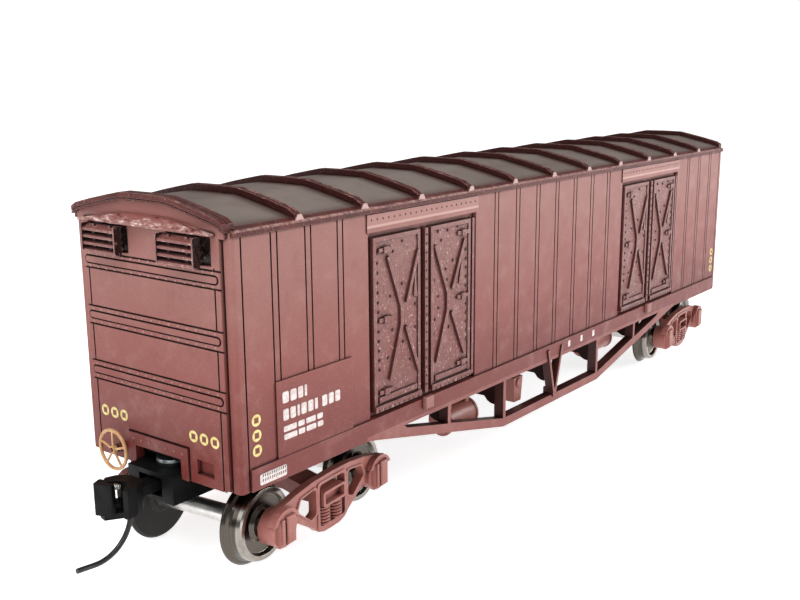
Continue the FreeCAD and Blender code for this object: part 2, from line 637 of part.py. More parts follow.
def bolster():
    """The cross beam that carries the pivot and ends in the side frame windows."""
    beam = slab_x([(-12.5, 5.3), (-12.5, 7.2), (-9.0, 7.4), (-4.0, 8.6), (4.0, 8.6), (9.0, 7.4),
                   (12.5, 7.2), (12.5, 5.3), (9.0, 5.3), (6.0, 6.2), (-6.0, 6.2), (-9.0, 5.3)], -1.95, 1.95)
    pad = rod(3.4, (0, 0, 6.2), (0, 0, 9.95))
    tips = []
    pockets = []
    for side in (-1, 1):
        y0, y1 = sorted((side * 11.6, side * 12.95))
        tip = box(-2.4, 2.4, y0, y1, 5.2, 7.25)
        tips.append(rounded_edges(tip, 0.4, lambda c: abs(abs(c.y) - 12.275) < 0.01))
        y0, y1 = sorted((side * 12.0, side * 13.5))
        pocket = box(-2.1, 2.1, y0, y1, 5.5, 6.95)
        pockets.append(rounded_edges(pocket, 0.25, lambda c: abs(abs(c.y) - 12.75) < 0.01))
    pivot = rod(PIVOT_R + FIT, (0, 0, 5), (0, 0, 11))
    return fuse([beam, pad] + tips).cut(pockets + [pivot])


def bearing_cups():
    """The four turned cups that the axle points run in."""
    cups = []
    for x in (-HALF_WHEELBASE, HALF_WHEELBASE):
        for side in (-1, 1):
            outer = rod(1.15, (x, side * 10.5, AXLE_Z), (x, side * 13.0, AXLE_Z))
            bore = rod(JOURNAL_R + FIT, (x, side * 10.4, AXLE_Z), (x, side * 11.9, AXLE_Z))
            cone = Part.makeCone(JOURNAL_R + FIT, 0.14, 0.93, V(x, side * 11.9, AXLE_Z), V(0, side, 0))
            cups.append(outer.cut([bore, cone]))
    return Part.makeCompound(cups)


def bogie_screw(end):
    """The screw that a bogie swivels on, its head under the bolster."""
    x = end * BOGIE_X
    head = rod(1.9, (x, 0, 5.2), (x, 0, 6.14))
    shank = rod(PIVOT_R, (x, 0, 6.1), (x, 0, FLOOR_TOP))
    slot = box(x - 3, x + 3, -0.2, 0.2, 5, 5.55)
    return fuse([head, shank]).cut(slot)


# ----------------------------------------------------------------- wheelsets

def axle(x):
    half = [rod(AXLE_R, (x, -10.2, AXLE_Z), (x, 10.2, AXLE_Z)),
            rod(JOURNAL_R, (x, -11.9, AXLE_Z), (x, 11.9, AXLE_Z))]
    points = [Part.makeCone(JOURNAL_R, 0.1, 0.85, V(x, s * 11.9, AXLE_Z), V(0, s, 0)) for s in (-1, 1)]
    return fuse(half + points)


def wheel(x, side, bore):
    """A disc wheel turned with flange, coned tread and a sunk web."""
    profile = [(bore, 6.9), (1.9, 6.9), (2.1, 7.2), (5.3, 7.2),
               (FLANGE_R, 7.42), (FLANGE_R, 7.66), (5.3, 7.95), (4.95, 8.15), (4.8, 8.45),
               (4.66, 9.65), (4.5, 9.9), (3.95, 9.9), (3.7, 9.3), (2.3, 9.15), (1.85, 9.6),
               (1.7, 10.1), (bore, 10.1)]
    points = [V(x + radius, side * y, AXLE_Z) for radius, y in profile]
    return polygon(points).revolve(V(x, 0, AXLE_Z), V(0, 1, 0), 360)


def insulating_bush(x):
    outer = rod(1.4, (x, -10.1, AXLE_Z), (x, -6.9, AXLE_Z))
    return outer.cut(rod(AXLE_R, (x, -11, AXLE_Z), (x, -6, AXLE_Z)))


# ------------------------------------------------------------------ couplers

def coupler_box():
    """The draught box: roof, sides and the post that the coupler swings on."""
    shell = box(BOX_FRONT, BOX_BACK, -BOX_Y, BOX_Y, BOX_LOW + BOX_LID, BOX_TOP)
    shell = rounded_edges(shell, 0.5, lambda c: abs(c.y) > BOX_Y - 0.01 and c.x > BOX_BACK - 0.01)
    hollow = box(BOX_FRONT + 0.6, BOX_BACK - 0.6, -BOX_Y + 0.6, BOX_Y - 0.6, BOX_LOW, CAVITY_TOP)
    mouth = box(BOX_FRONT - 1, BOX_FRONT + 1, -2.1, 2.1, BOX_LOW, CAVITY_TOP)
    post = rod(CENTRE_POST_R, (-COUPLER_X, 0, BOX_LOW + BOX_LID), (-COUPLER_X, 0, BOX_TOP))
    bore = rod(0.8, (-COUPLER_X, 0, 8), (-COUPLER_X, 0, 14))
    return fuse([shell.cut([hollow, mouth]), post]).cut(bore)


def coupler_box_lid():
    lid = box(BOX_FRONT, BOX_BACK, -BOX_Y, BOX_Y, BOX_LOW, BOX_LOW + BOX_LID)
    lid = rounded_edges(lid, 0.5, lambda c: abs(c.y) > BOX_Y - 0.01 and c.x > BOX_BACK - 0.01)
    return lid.cut(rod(0.8, (-COUPLER_X, 0, 8), (-COUPLER_X, 0, 14)))


def coupler_screw():
    head = rod(1.5, (-COUPLER_X, 0, 8.2), (-COUPLER_X, 0, BOX_LOW))
    shank = rod(0.8, (-COUPLER_X, 0, BOX_LOW - 0.1), (-COUPLER_X, 0, FLOOR_TOP))
    slot = box(-COUPLER_X - 3, -COUPLER_X + 3, -0.2, 0.2, 8, 8.5)
    return fuse([head, shank]).cut(slot)


def coupler_washer():
    ring = rod(1.9, (-COUPLER_X, 0, BOX_TOP), (-COUPLER_X, 0, FLOOR_BOTTOM))
    return ring.cut(rod(0.8, (-COUPLER_X, 0, 12), (-COUPLER_X, 0, 14)))


def coupler_head():
    """Shank, guard arm and knuckle lugs in one casting, swinging on the box post."""
    ring = rod(2.1, (-COUPLER_X, 0, 10.15), (-COUPLER_X, 0, 11.35))
    shank = box(-76.0, -COUPLER_X, -1.2, 1.2, 10.15, 11.35)
    hood = slab_z([(-75.3, -1.2), (-75.3, 1.2), (-76.3, 2.3), (-77.6, 2.75), (-78.15, 2.3), (-78.15, 1.3),
                   (-77.2, 0.6), (-77.0, -0.4), (-77.5, -1.2), (-78.9, -2.2), (-78.7, -2.8),
                   (-77.2, -2.5), (-76.0, -1.9)], 8.9, 12.4)
    pocket = box(-80, -76.35, 0.45, 3.2, 9.5, 11.8)
    kx, ky = KNUCKLE_AT
    pin = rod(0.35, (kx, ky, 9.0), (kx, ky, 12.3))
    bore = rod(CENTRE_POST_R + FIT, (-COUPLER_X, 0, 9), (-COUPLER_X, 0, 13))
    body = fuse([ring, shank, hood]).cut([pocket, bore])
    return fuse([body, pin])


def knuckle():
    """The hooked jaw, with the tongue under the head that carries the trip pin."""
    kx, ky = KNUCKLE_AT
    face = slab_z([(-78.45, 2.6), (-80.0, 1.85), (-79.2, -0.5), (-78.5, -0.3), (-78.75, 0.8), (-78.45, 1.2)],
                  8.7, 12.6)
    face = rounded_edges(face, 0.25, lambda c: 8.8 < c.z < 12.5)
    arm = slab_z([(-79.0, 1.2), (-79.0, 2.3), (-77.4, 2.6), (kx + 0.7, ky), (kx, ky - 0.75)], 9.6, 11.7)
    drop = slab_z([(-79.3, 1.0), (-79.0, 2.2), (-78.45, 2.4), (-78.45, 1.0)], 7.95, 9.0)
    tongue = slab_z([(-79.3, 1.0), (-79.0, 2.2), (-77.3, 1.3), (-75.8, 0.55), (-75.8, -0.55),
                     (-76.9, -0.6)], 7.95, 8.7)
    hole = rod(0.35 + FIT, (kx, ky, 7), (kx, ky, 13))
    socket = rod(TRIP_R, (-76.4, 0, 7), (-76.4, 0, 9))
    return fuse([face, arm, drop, tongue]).cut([hole, socket])


def trip_pin():
    """The curved wire under the coupler: a stem, one long bend and a short straight end."""
    radius = 5.0
    lean, sweep = math.radians(10), math.radians(95)
    bend = V(-76.4, 0, 7.75)

    def on_bend(angle):
        return bend + V(radius * (math.cos(angle) - math.cos(lean)), 0,
                        -radius * (math.sin(angle) - math.sin(lean)))
    last = on_bend(sweep)
    tip = last + V(-math.sin(sweep), 0, -math.cos(sweep)) * 2.4
    arc = Part.Arc(bend, on_bend((lean + sweep) / 2), last).toShape()
    curve = Part.Wire([arc, Part.makeLine(last, tip)])
    section = Part.Wire(Part.makeCircle(TRIP_R, bend, V(-math.sin(lean), 0, -math.cos(lean))))
    wire = curve.makePipeShell([section], True, False)
    stem = rod(TRIP_R, (-76.4, 0, 7.7), (-76.4, 0, 8.7))
    return fuse([wire, stem])


def centring_spring():
    """The flat bronze spring under the shank, with a finger along each side of it."""
    ring = rod(2.0, (-COUPLER_X, 0, 9.65), (-COUPLER_X, 0, 10.0))
    pieces = [ring]
    for side in (-1, 1):
        y0, y1 = sorted((side * 1.35, side * 1.6))
        pieces.append(box(-72.4, -COUPLER_X + 1.2, y0, y1, 9.65, 11.2))
    bore = rod(2.15, (-COUPLER_X, 0, 10.05), (-COUPLER_X, 0, 12))
    post = rod(CENTRE_POST_R + FIT, (-COUPLER_X, 0, 9), (-COUPLER_X, 0, 12))
    return fuse(pieces).cut([bore, post])


# -------------------------------------------------------------------- pieces

def bogie_pieces(end, place):
    frame = side_frame()
    beam = bolster()
    cups = bearing_cups()
    return {
        f"bogie_{place}_bolster": placed_bogie(beam, end),
        f"bogie_{place}_frame_left": placed_bogie(frame, end),
        f"bogie_{place}_frame_right": placed_bogie(flipped_y(frame), end),
        f"bogie_{place}_bearing_cups": placed_bogie(cups, end),
    }


def wheelset_pieces(number, end, offset):
    """Pieces of one wheelset; the left wheel is the one on a bush."""
    pieces = {
        f"axle_{number}": axle(offset),
        f"wheel_{number}_left": wheel(offset, -1, 1.4),
        f"wheel_{number}_right": wheel(offset, 1, AXLE_R),
        f"insulating_bush_{number}": insulating_bush(offset),
    }
    for name, shape in pieces.items():
        placed = shape.copy()
        placed.rotate(V(0, 0, 0), UP, BOGIE_YAW)
        placed.translate(V(end * BOGIE_X, 0, 0))
        pieces[name] = placed
    return pieces


def coupler_pieces(place, move):
    return {
        f"coupler_box_{place}": move(coupler_box()),
        f"coupler_box_lid_{place}": move(coupler_box_lid()),
        f"coupler_head_{place}": move(coupler_head()),
        f"centring_spring_{place}": move(centring_spring()),
        f"knuckle_{place}": move(knuckle()),
        f"trip_pin_{place}": move(trip_pin()),
        f"end_vents_{place}": move(end_vents()),
    }


def as_made(shape):
    return shape


def all_pieces():
    truss = side_truss()
    left_door = door_pair()
    pieces = {
        "body_shell": body_shell(),
        "roof": roof(),
        "door_left_front": left_door,
        "door_left_rear": left_door.translated(V(DOOR_X[0] + DOOR_X[1], 0, 0)),
        "door_right_rear": half_turn(left_door),
        "door_right_front": half_turn(left_door.translated(V(DOOR_X[0] + DOOR_X[1], 0, 0))),
        "door_keepers": door_keepers(),
        "truss_left": truss,
        "truss_right": flipped_y(truss),
        "cross_bearers": cross_bearers(),
        "centre_sill": centre_sill(),
        "floor": floor(),
        "ballast_weight": ballast_weight(),
        "brake_cylinder": brake_cylinder(),
        "air_reservoir": air_reservoir(),
        "control_valve": control_valve(),
        "handwheel": handwheel(),
        "handwheel_spindle": handwheel_spindle(),
        "bogie_screws": Part.makeCompound([bogie_screw(end) for end in (-1, 1)]),
        "coupler_screws": Part.makeCompound([coupler_screw(), half_turn(coupler_screw())]),
        "coupler_washers": Part.makeCompound([coupler_washer(), half_turn(coupler_washer())]),
    }
    for place, end, move in (("front", -1, as_made), ("rear", 1, half_turn)):
        pieces.update(coupler_pieces(place, move))
        pieces.update(bogie_pieces(end, place))
    stations = ((1, -1, -HALF_WHEELBASE), (2, -1, HALF_WHEELBASE),
                (3, 1, -HALF_WHEELBASE), (4, 1, HALF_WHEELBASE))
    for number, end, offset in stations:
        pieces.update(wheelset_pieces(number, end, offset))
    return pieces


def main():
    os.makedirs("parts", exist_ok=True)
    for name, shape in all_pieces().items():
        if not shape.isValid():
            raise ValueError(f"{name} is not a valid shape")
        shape.exportStep(f"parts/{name}.step")
        print(f"{name}: {len(shape.Solids)} solids, {shape.Volume:.1f} mm3")


main()
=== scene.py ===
import math
import random

import bmesh
import bpy
from mathutils import Matrix, Vector


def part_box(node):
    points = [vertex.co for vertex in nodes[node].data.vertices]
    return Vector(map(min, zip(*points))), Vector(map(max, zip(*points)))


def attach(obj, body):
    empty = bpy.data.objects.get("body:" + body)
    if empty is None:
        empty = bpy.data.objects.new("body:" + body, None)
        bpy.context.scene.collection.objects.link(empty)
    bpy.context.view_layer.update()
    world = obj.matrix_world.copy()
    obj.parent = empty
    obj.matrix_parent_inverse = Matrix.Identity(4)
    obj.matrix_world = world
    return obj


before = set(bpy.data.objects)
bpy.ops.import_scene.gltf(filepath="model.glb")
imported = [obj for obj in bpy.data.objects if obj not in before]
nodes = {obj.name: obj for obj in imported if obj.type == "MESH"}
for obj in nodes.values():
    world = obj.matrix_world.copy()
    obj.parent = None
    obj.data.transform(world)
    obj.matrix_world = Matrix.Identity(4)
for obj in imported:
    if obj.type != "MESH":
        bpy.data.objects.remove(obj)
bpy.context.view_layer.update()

# A model box wagon. Lengths of the wagon are in millimetres and are scaled to metres as meshes are
# made; the camera, the lights and the floor are in metres. -X is the front end, -Y the left side.
MM = 0.001
SMOOTH_ANGLE = math.radians(60)    # edges sharper than this stay sharp
rng = random.Random(7)


def high_corner(node):
    """The high corner of a CAD node's box, in millimetres."""
    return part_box(node)[1] / MM


sill_y = high_corner("body_shell").y       # outer face of the side sill
plate_y = sill_y - 0.3                     # outer face of the planked side
end_x = high_corner("roof").x - 0.1        # outer face of the end panel
DOOR_FACE = 13.75          # outer face of the door leaves
BOGIE_TURN = 6.2           # how far each bogie stands turned at rest, in degrees

HALF_TURN = Matrix.Rotation(math.pi, 4, "Z")
BOTH_ENDS = [Matrix.Identity(4), HALF_TURN]
DOOR_SHIFT = Matrix.Translation(Vector((71.7, 0, 0)))      # from the front doors to the rear ones
DOOR_PLACES = [Matrix.Identity(4), DOOR_SHIFT, HALF_TURN, HALF_TURN @ DOOR_SHIFT]
OUT_LEFT = Vector((0, -1, 0))
OUT_FRONT = Vector((-1, 0, 0))


# ------------------------------------------------------------------ camera

def make_camera():
    data = bpy.data.cameras.new("camera")
    data.sensor_width = 36
    data.lens = 46.98
    data.shift_x = -0.03457
    data.shift_y = 0.00666
    camera = bpy.data.objects.new("camera", data)
    camera.location = (-0.148215, -0.096743, 0.060154)
    camera.rotation_euler = (math.radians(76.961), 0, math.radians(-53.625))
    bpy.context.scene.collection.objects.link(camera)
    bpy.context.scene.camera = camera


# --------------------------------------------------------------- materials

def srgb(red, green, blue):
    """A colour named by its 0-255 display values, as the linear colour nodes want."""
    linear = []
    for value in (red, green, blue):
        share = value / 255
        linear.append(share / 12.92 if share <= 0.04045 else ((share + 0.055) / 1.055) ** 2.4)
    return (*linear, 1.0)


class Nodes:
    """A material and short names for the nodes it is built from."""

    def __init__(self, name):
        self.material = bpy.data.materials.new(name)
        self.material.use_nodes = True
        self.tree = self.material.node_tree
        self.shader = self.tree.nodes["Principled BSDF"]
        self.place = self.add("ShaderNodeTexCoord").outputs["Object"]
        self.facing = self.add("ShaderNodeNewGeometry").outputs["Normal"]

    def add(self, kind, inputs=(), **settings):
        node = self.tree.nodes.new(kind)
        for key, value in settings.items():
            setattr(node, key, value)
        for key, value in dict(inputs).items():
            self.feed(node.inputs[key], value)
        return node

    def feed(self, socket, value):
        """Link a socket to another socket, or set it to a plain value."""
        if isinstance(value, bpy.types.NodeSocket):
            self.tree.links.new(value, socket)
        else:
            socket.default_value = value

    def math(self, operation, first, second=0.0, clamp=False):
        node = self.add("ShaderNodeMath", {0: first, 1: second}, operation=operation, use_clamp=clamp)
        return node.outputs[0]

    def axis(self, letter):
        """One coordinate of the surface point, in millimetres."""
        parts = self.add("ShaderNodeSeparateXYZ", {0: self.place})
        return self.math("MULTIPLY", parts.outputs[letter], 1 / MM)

    def far(self, letter):
        """How far the surface point is from the middle of the wagon along one axis, in millimetres."""
        return self.math("ABSOLUTE", self.axis(letter))

    def lean(self, letter):
        """How squarely the surface faces along one axis, from 0 to 1."""
        parts = self.add("ShaderNodeSeparateXYZ", {0: self.facing})
        return self.math("ABSOLUTE", parts.outputs[letter])

    def steps(self, value, low, high, to_low=0.0, to_high=1.0):
        """A soft step from to_low to to_high as value goes from low to high, which may run down."""
        node = self.add("ShaderNodeMapRange", {0: value, 1: low, 2: high, 3: to_low, 4: to_high},
                        interpolation_type="SMOOTHSTEP")
        return node.outputs[0]

    def noise(self, size, detail=3.0, roughness=0.5, stretch=(1, 1, 1)):
        """Noise whose grains are about size millimetres across."""
        place = self.add("ShaderNodeMapping", {0: self.place, 3: stretch}).outputs[0]
        node = self.add("ShaderNodeTexNoise", {"Vector": place, "Scale": 1 / (size * MM), "Detail": detail,
                                               "Roughness": roughness})
        return node.outputs[0]

    def mix(self, share, first, second):
        """The first colour at a share of 0, the second at 1."""
        return self.add("ShaderNodeMix", {0: share, 6: first, 7: second}, data_type="RGBA").outputs[2]

    def mix_value(self, share, first, second):
        return self.add("ShaderNodeMix", {0: share, 2: first, 3: second}).outputs[0]

    def soft_normal(self, radius):
        """The surface normal with edges rounded over by radius millimetres."""
        return self.add("ShaderNodeBevel", {0: radius * MM}, samples=4).outputs[0]

    def edges(self, rounded):
        """High along sharp edges, from how far the rounded normal leans off the true one."""
        match = self.add("ShaderNodeVectorMath", {0: rounded, 1: self.facing}, operation="DOT_PRODUCT")
        return self.steps(match.outputs["Value"], 0.985, 0.87)

    def crevice(self, reach):
        """High in corners and grooves narrower than reach millimetres."""
        node = self.add("ShaderNodeAmbientOcclusion", {"Distance": reach * MM}, samples=6)
        return self.math("SUBTRACT", 1.0, node.outputs["AO"])

    def bump(self, height, depth, normal, strength):
        """The normal pushed about by a height of 0 to 1 that stands for depth millimetres."""
        inputs = {"Strength": strength, "Distance": depth * MM, "Height": height, "Normal": normal}
        return self.add("ShaderNodeBump", inputs).outputs[0]

    def finish(self, **sockets):
        """Feed the shader's own sockets, and give the material."""
        for key, value in sockets.items():
            self.feed(self.shader.inputs[key.replace("_", " ")], value)
        return self.material


# LOW_TONE is the plain paint; the mid and top tones are that paint lightened by a painted sheen, laid on
# more strongly with height.
LOW_TONE = srgb(110, 44, 38)
MID_SHEEN_TONE = srgb(133, 71, 64)
TOP_SHEEN_TONE = srgb(147, 99, 92)
PALE_TONE = srgb(182, 140, 132)
DARK_TONE = srgb(86, 34, 30)
# Painted shade, laid into corners and grooves by how closely they are shut in.
CORNER_SHADE = srgb(30, 6, 5)

# Where the paint of the ends and the roof changes. Each pair is a soft step: it starts at the first
# number and is complete at the second. X and Y are measured from the middle of the wagon.
END_X = (71.0, 71.2)               # the end walls
ARCH_FOOT_Z = (42.6, 43.0)         # the arch over each end header
STRIP_FOOT_Z = (39.9, 40.0)        # the header strips over the doors
STRIP_TOP_Z = (42.3, 42.2)
STRIP_EDGE_Z = (40.35, 40.2)       # the lower edge of those strips, where a painted highlight runs
HEADER_X = (71.7, 71.85)           # the thick end header
HEADER_FOOT_Z = (41.4, 41.6)
HEADER_MIDDLE_Z = 42.35
HEADER_FRONT = (0.75, 0.35)        # above and below its middle, where it faces forward and carries painted highlights
STEP_X = (71.3, 71.5)              # the step between the header and the arch
STEP_Z = (42.3, 42.6)
VENT_BACK_X = (71.5, 71.3)         # behind the slats of the end vents
RIB_PITCH = 11.85
RIB_SHIFT = -1.25                  # the row of ribs sits a little toward the front end
LAST_PITCH_RIB = 5                 # the rib after this one is the rear end rib, which is wider
RIB_EDGE = (0.58, 0.64)            # off a rib's middle line, where its panel begins
PANEL_Y = (12.95, 12.85)           # the sides of the roof panels
PANEL_X = (70.28, 70.22)           # the ends of the outer roof panels
RIB_CHEEK_X = (71.0, 70.9)         # the ribs that stand clear of the end arches, where their sides get painted shade
LIP_Y, LIP_Z = (13.55, 13.75), (42.25, 42.4)       # the top edge of the eaves, where a painted highlight runs
FOOT_Y, FOOT_Z = (13.7, 13.78), (42.45, 42.6)      # the feet of the ribs over the eaves, painted light as a highlight
WHEEL_BACK = (7.6, 7.45)           # along the axle from its middle
WHEEL_FRONT = (9.0, 9.2)
RIM_RADIUS = (3.6, 3.75)
WASHER_TOP_Z = (12.95, 13.1)


def paint(name, tones=(LOW_TONE, MID_SHEEN_TONE, TOP_SHEEN_TONE), heights=(13.0, 26.0, 43.0), pale=PALE_TONE,
          corner_shade=CORNER_SHADE, reach=0.5, corner_shade_range=(0.16, 0.42), round_off=0.07, rough=0.42, lumps=0.0,
          rub_and_highlight=0.55, gloss=0.35, fringe=0.0, cover=None, wet=None, bare=None):
    """Sprayed model paint, paler with height as a painted sheen, painted shade in the corners, pale
    edges that are partly rubbed paint and partly painted highlight.

    tones are the colours at the heights; lumps is how far a rough casting heaves, in mm, its tops
    painted lighter as highlights and its hollows darker as painted shade; fringe is how strongly
    the painted shade of such a casting spreads in an uneven band round the corners; cover may
    change the colour before the painted shade; wet says where the paint is thick, lumpy and glossy,
    with painted highlights; bare says where the corners stay free of painted shade."""
    n = Nodes(name)
    cloud = n.noise(16.0, 2.0)
    patch = n.noise(2.6, 4.0, 0.6)
    grain = n.noise(0.16, 2.0, 0.5)
    height = n.math("ADD", n.axis("Z"), n.math("MULTIPLY", n.math("SUBTRACT", cloud, 0.5), 9.0))
    # Paler with height: a painted sheen.
    colour = n.mix(n.steps(height, heights[0], heights[1]), tones[0], tones[1])
    colour = n.mix(n.steps(height, heights[1] - 4, heights[2]), colour, tones[2])
    colour = n.mix(n.math("MULTIPLY", n.steps(patch, 0.5, 0.8), 0.16), colour, pale)
    colour = n.mix(n.math("MULTIPLY", n.steps(patch, 0.45, 0.2), 0.18), colour, DARK_TONE)
    colour = n.mix(n.math("MULTIPLY", n.steps(grain, 0.55, 0.8), 0.22), colour, pale)
    colour = n.mix(n.math("MULTIPLY", n.steps(grain, 0.45, 0.2), 0.22), colour, DARK_TONE)
    if cover is not None:
        colour = cover(n, colour)
    rounded = n.soft_normal(round_off)
    shade = n.steps(n.crevice(reach), *corner_shade_range)
    worn = n.math("MULTIPLY", n.edges(rounded), n.steps(patch, 0.3, 0.6, 0.35, 1.0))
    surface = n.bump(n.math("ADD", n.math("MULTIPLY", grain, 0.7), n.math("MULTIPLY", patch, 0.3)), 0.03,
                     rounded, 0.7)
    if lumps:
        casting = n.noise(0.42, 3.0, 0.62)
        surface = n.bump(casting, lumps, surface, 1.0)
        # Lump tops painted lighter as highlights, lump hollows darker as painted shade.
        colour = n.mix(n.math("MULTIPLY", n.steps(casting, 0.58, 0.72), rub_and_highlight), colour, pale)
        colour = n.mix(n.math("MULTIPLY", n.steps(casting, 0.44, 0.3), 0.6), colour, DARK_TONE)
    # An uneven band of painted shade round the corners of a rough casting.
    if fringe:
        spread = n.math("MULTIPLY", n.math("SUBTRACT", casting, 0.5), 0.9)
        shade_fringe = n.steps(n.math("ADD", n.crevice(reach * 2.5), spread), 0.3, 0.5)
        colour = n.mix(n.math("MULTIPLY", shade_fringe, fringe), colour, corner_shade)
    # Pale edges: partly rubbed paint, partly a painted highlight along every sharp edge.
    colour = n.mix(n.math("MULTIPLY", worn, rub_and_highlight), colour, pale)
    shine = n.steps(patch, 0.3, 0.75, rough + 0.06, rough - 0.06)
    if wet is not None:
        thick = wet(n)
        drips = n.noise(0.5, 4.0, 0.68, (1, 0.3, 1))
        off_middle = n.math("ABSOLUTE", n.math("SUBTRACT", n.axis("Z"), HEADER_MIDDLE_Z))
        front = n.steps(off_middle, *HEADER_FRONT)
        # Painted highlights: pale streaks across the front of the thick header, darker between them.
        painted_glint = n.math("MULTIPLY", n.steps(drips, 0.5, 0.66, 0.0, 0.85), front)
        colour = n.mix(n.math("MULTIPLY", thick, n.steps(drips, 0.46, 0.34)), colour, DARK_TONE)
        colour = n.mix(n.math("MULTIPLY", thick, painted_glint), colour, srgb(232, 208, 204))
        surface = n.bump(drips, 0.14, surface, thick)
        shine = n.mix_value(thick, shine, 0.2)
    # No painted shade where bare says so.
    if bare is not None:
        shade = n.math("MULTIPLY", shade, n.math("SUBTRACT", 1.0, bare(n)))
    # Painted shade in the corners and grooves.
    colour = n.mix(n.math("MULTIPLY", shade, 0.94), colour, corner_shade)
    shine = n.math("ADD", shine, n.math("MULTIPLY", shade, 0.4), clamp=True)
    return n.finish(Base_Color=colour, Roughness=shine, Normal=surface, Specular_IOR_Level=gloss)


def end_arch(n, colour):
    """Browner above the end header as painted shade under the roof, lighter on the header strips
    over the doors, with a painted highlight along their lower edge.
    """
    arch = n.math("MULTIPLY", n.steps(n.far("X"), *END_X), n.steps(n.axis("Z"), *ARCH_FOOT_Z))
    # Painted shade under the roof.
    colour = n.mix(n.math("MULTIPLY", arch, 0.6), colour, srgb(128, 64, 57))
    strip = n.math("MULTIPLY", n.steps(n.far("Y"), plate_y + 0.1, plate_y + 0.16),
                   n.math("MULTIPLY", n.steps(n.axis("Z"), *STRIP_FOOT_Z),
                          n.steps(n.axis("Z"), *STRIP_TOP_Z)))
    colour = n.mix(n.math("MULTIPLY", strip, 0.3), colour, PALE_TONE)
    # Painted highlight along the lower edge of the strips.
    edge = n.math("MULTIPLY", strip, n.steps(n.axis("Z"), *STRIP_EDGE_Z))
    return n.mix(n.math("MULTIPLY", edge, 0.45), colour, srgb(214, 178, 171))


def end_header(n):
    """The thick moulding across the top of each end."""
    return n.math("MULTIPLY", n.steps(n.far("X"), *HEADER_X), n.steps(n.axis("Z"), *HEADER_FOOT_Z))


def arch_step_unshaded(n):
    """The step between the header and the arch over it, kept free of painted shade."""
    return n.math("MULTIPLY", n.steps(n.far("X"), *STEP_X), n.steps(n.axis("Z"), *STEP_Z, 0.0, 0.8))


def vent_shade(n, colour):
    """Nearly black on the cheeks of the vents and behind their slats."""
    shaded_side = n.steps(n.lean("Y"), 0.5, 0.75)
    behind = n.steps(n.far("X"), *VENT_BACK_X)
    return n.mix(n.math("MAXIMUM", shaded_side, behind), colour, srgb(12, 3, 2))


def truss_shade(n, colour):
    """Dark on the faces of the truss that do not look outward."""
    return n.mix(n.math("MULTIPLY", n.steps(n.lean("Y"), 0.75, 0.45), 0.85), colour, srgb(32, 9, 8))


def off_rib(n):
    """Distance from the nearest roof rib line, in millimetres."""
    x = n.math("SUBTRACT", n.axis("X"), RIB_SHIFT)
    number = n.math("MINIMUM", n.math("ROUND", n.math("DIVIDE", x, RIB_PITCH)), LAST_PITCH_RIB)
    return n.math("ABSOLUTE", n.math("SUBTRACT", x, n.math("MULTIPLY", number, RIB_PITCH)))


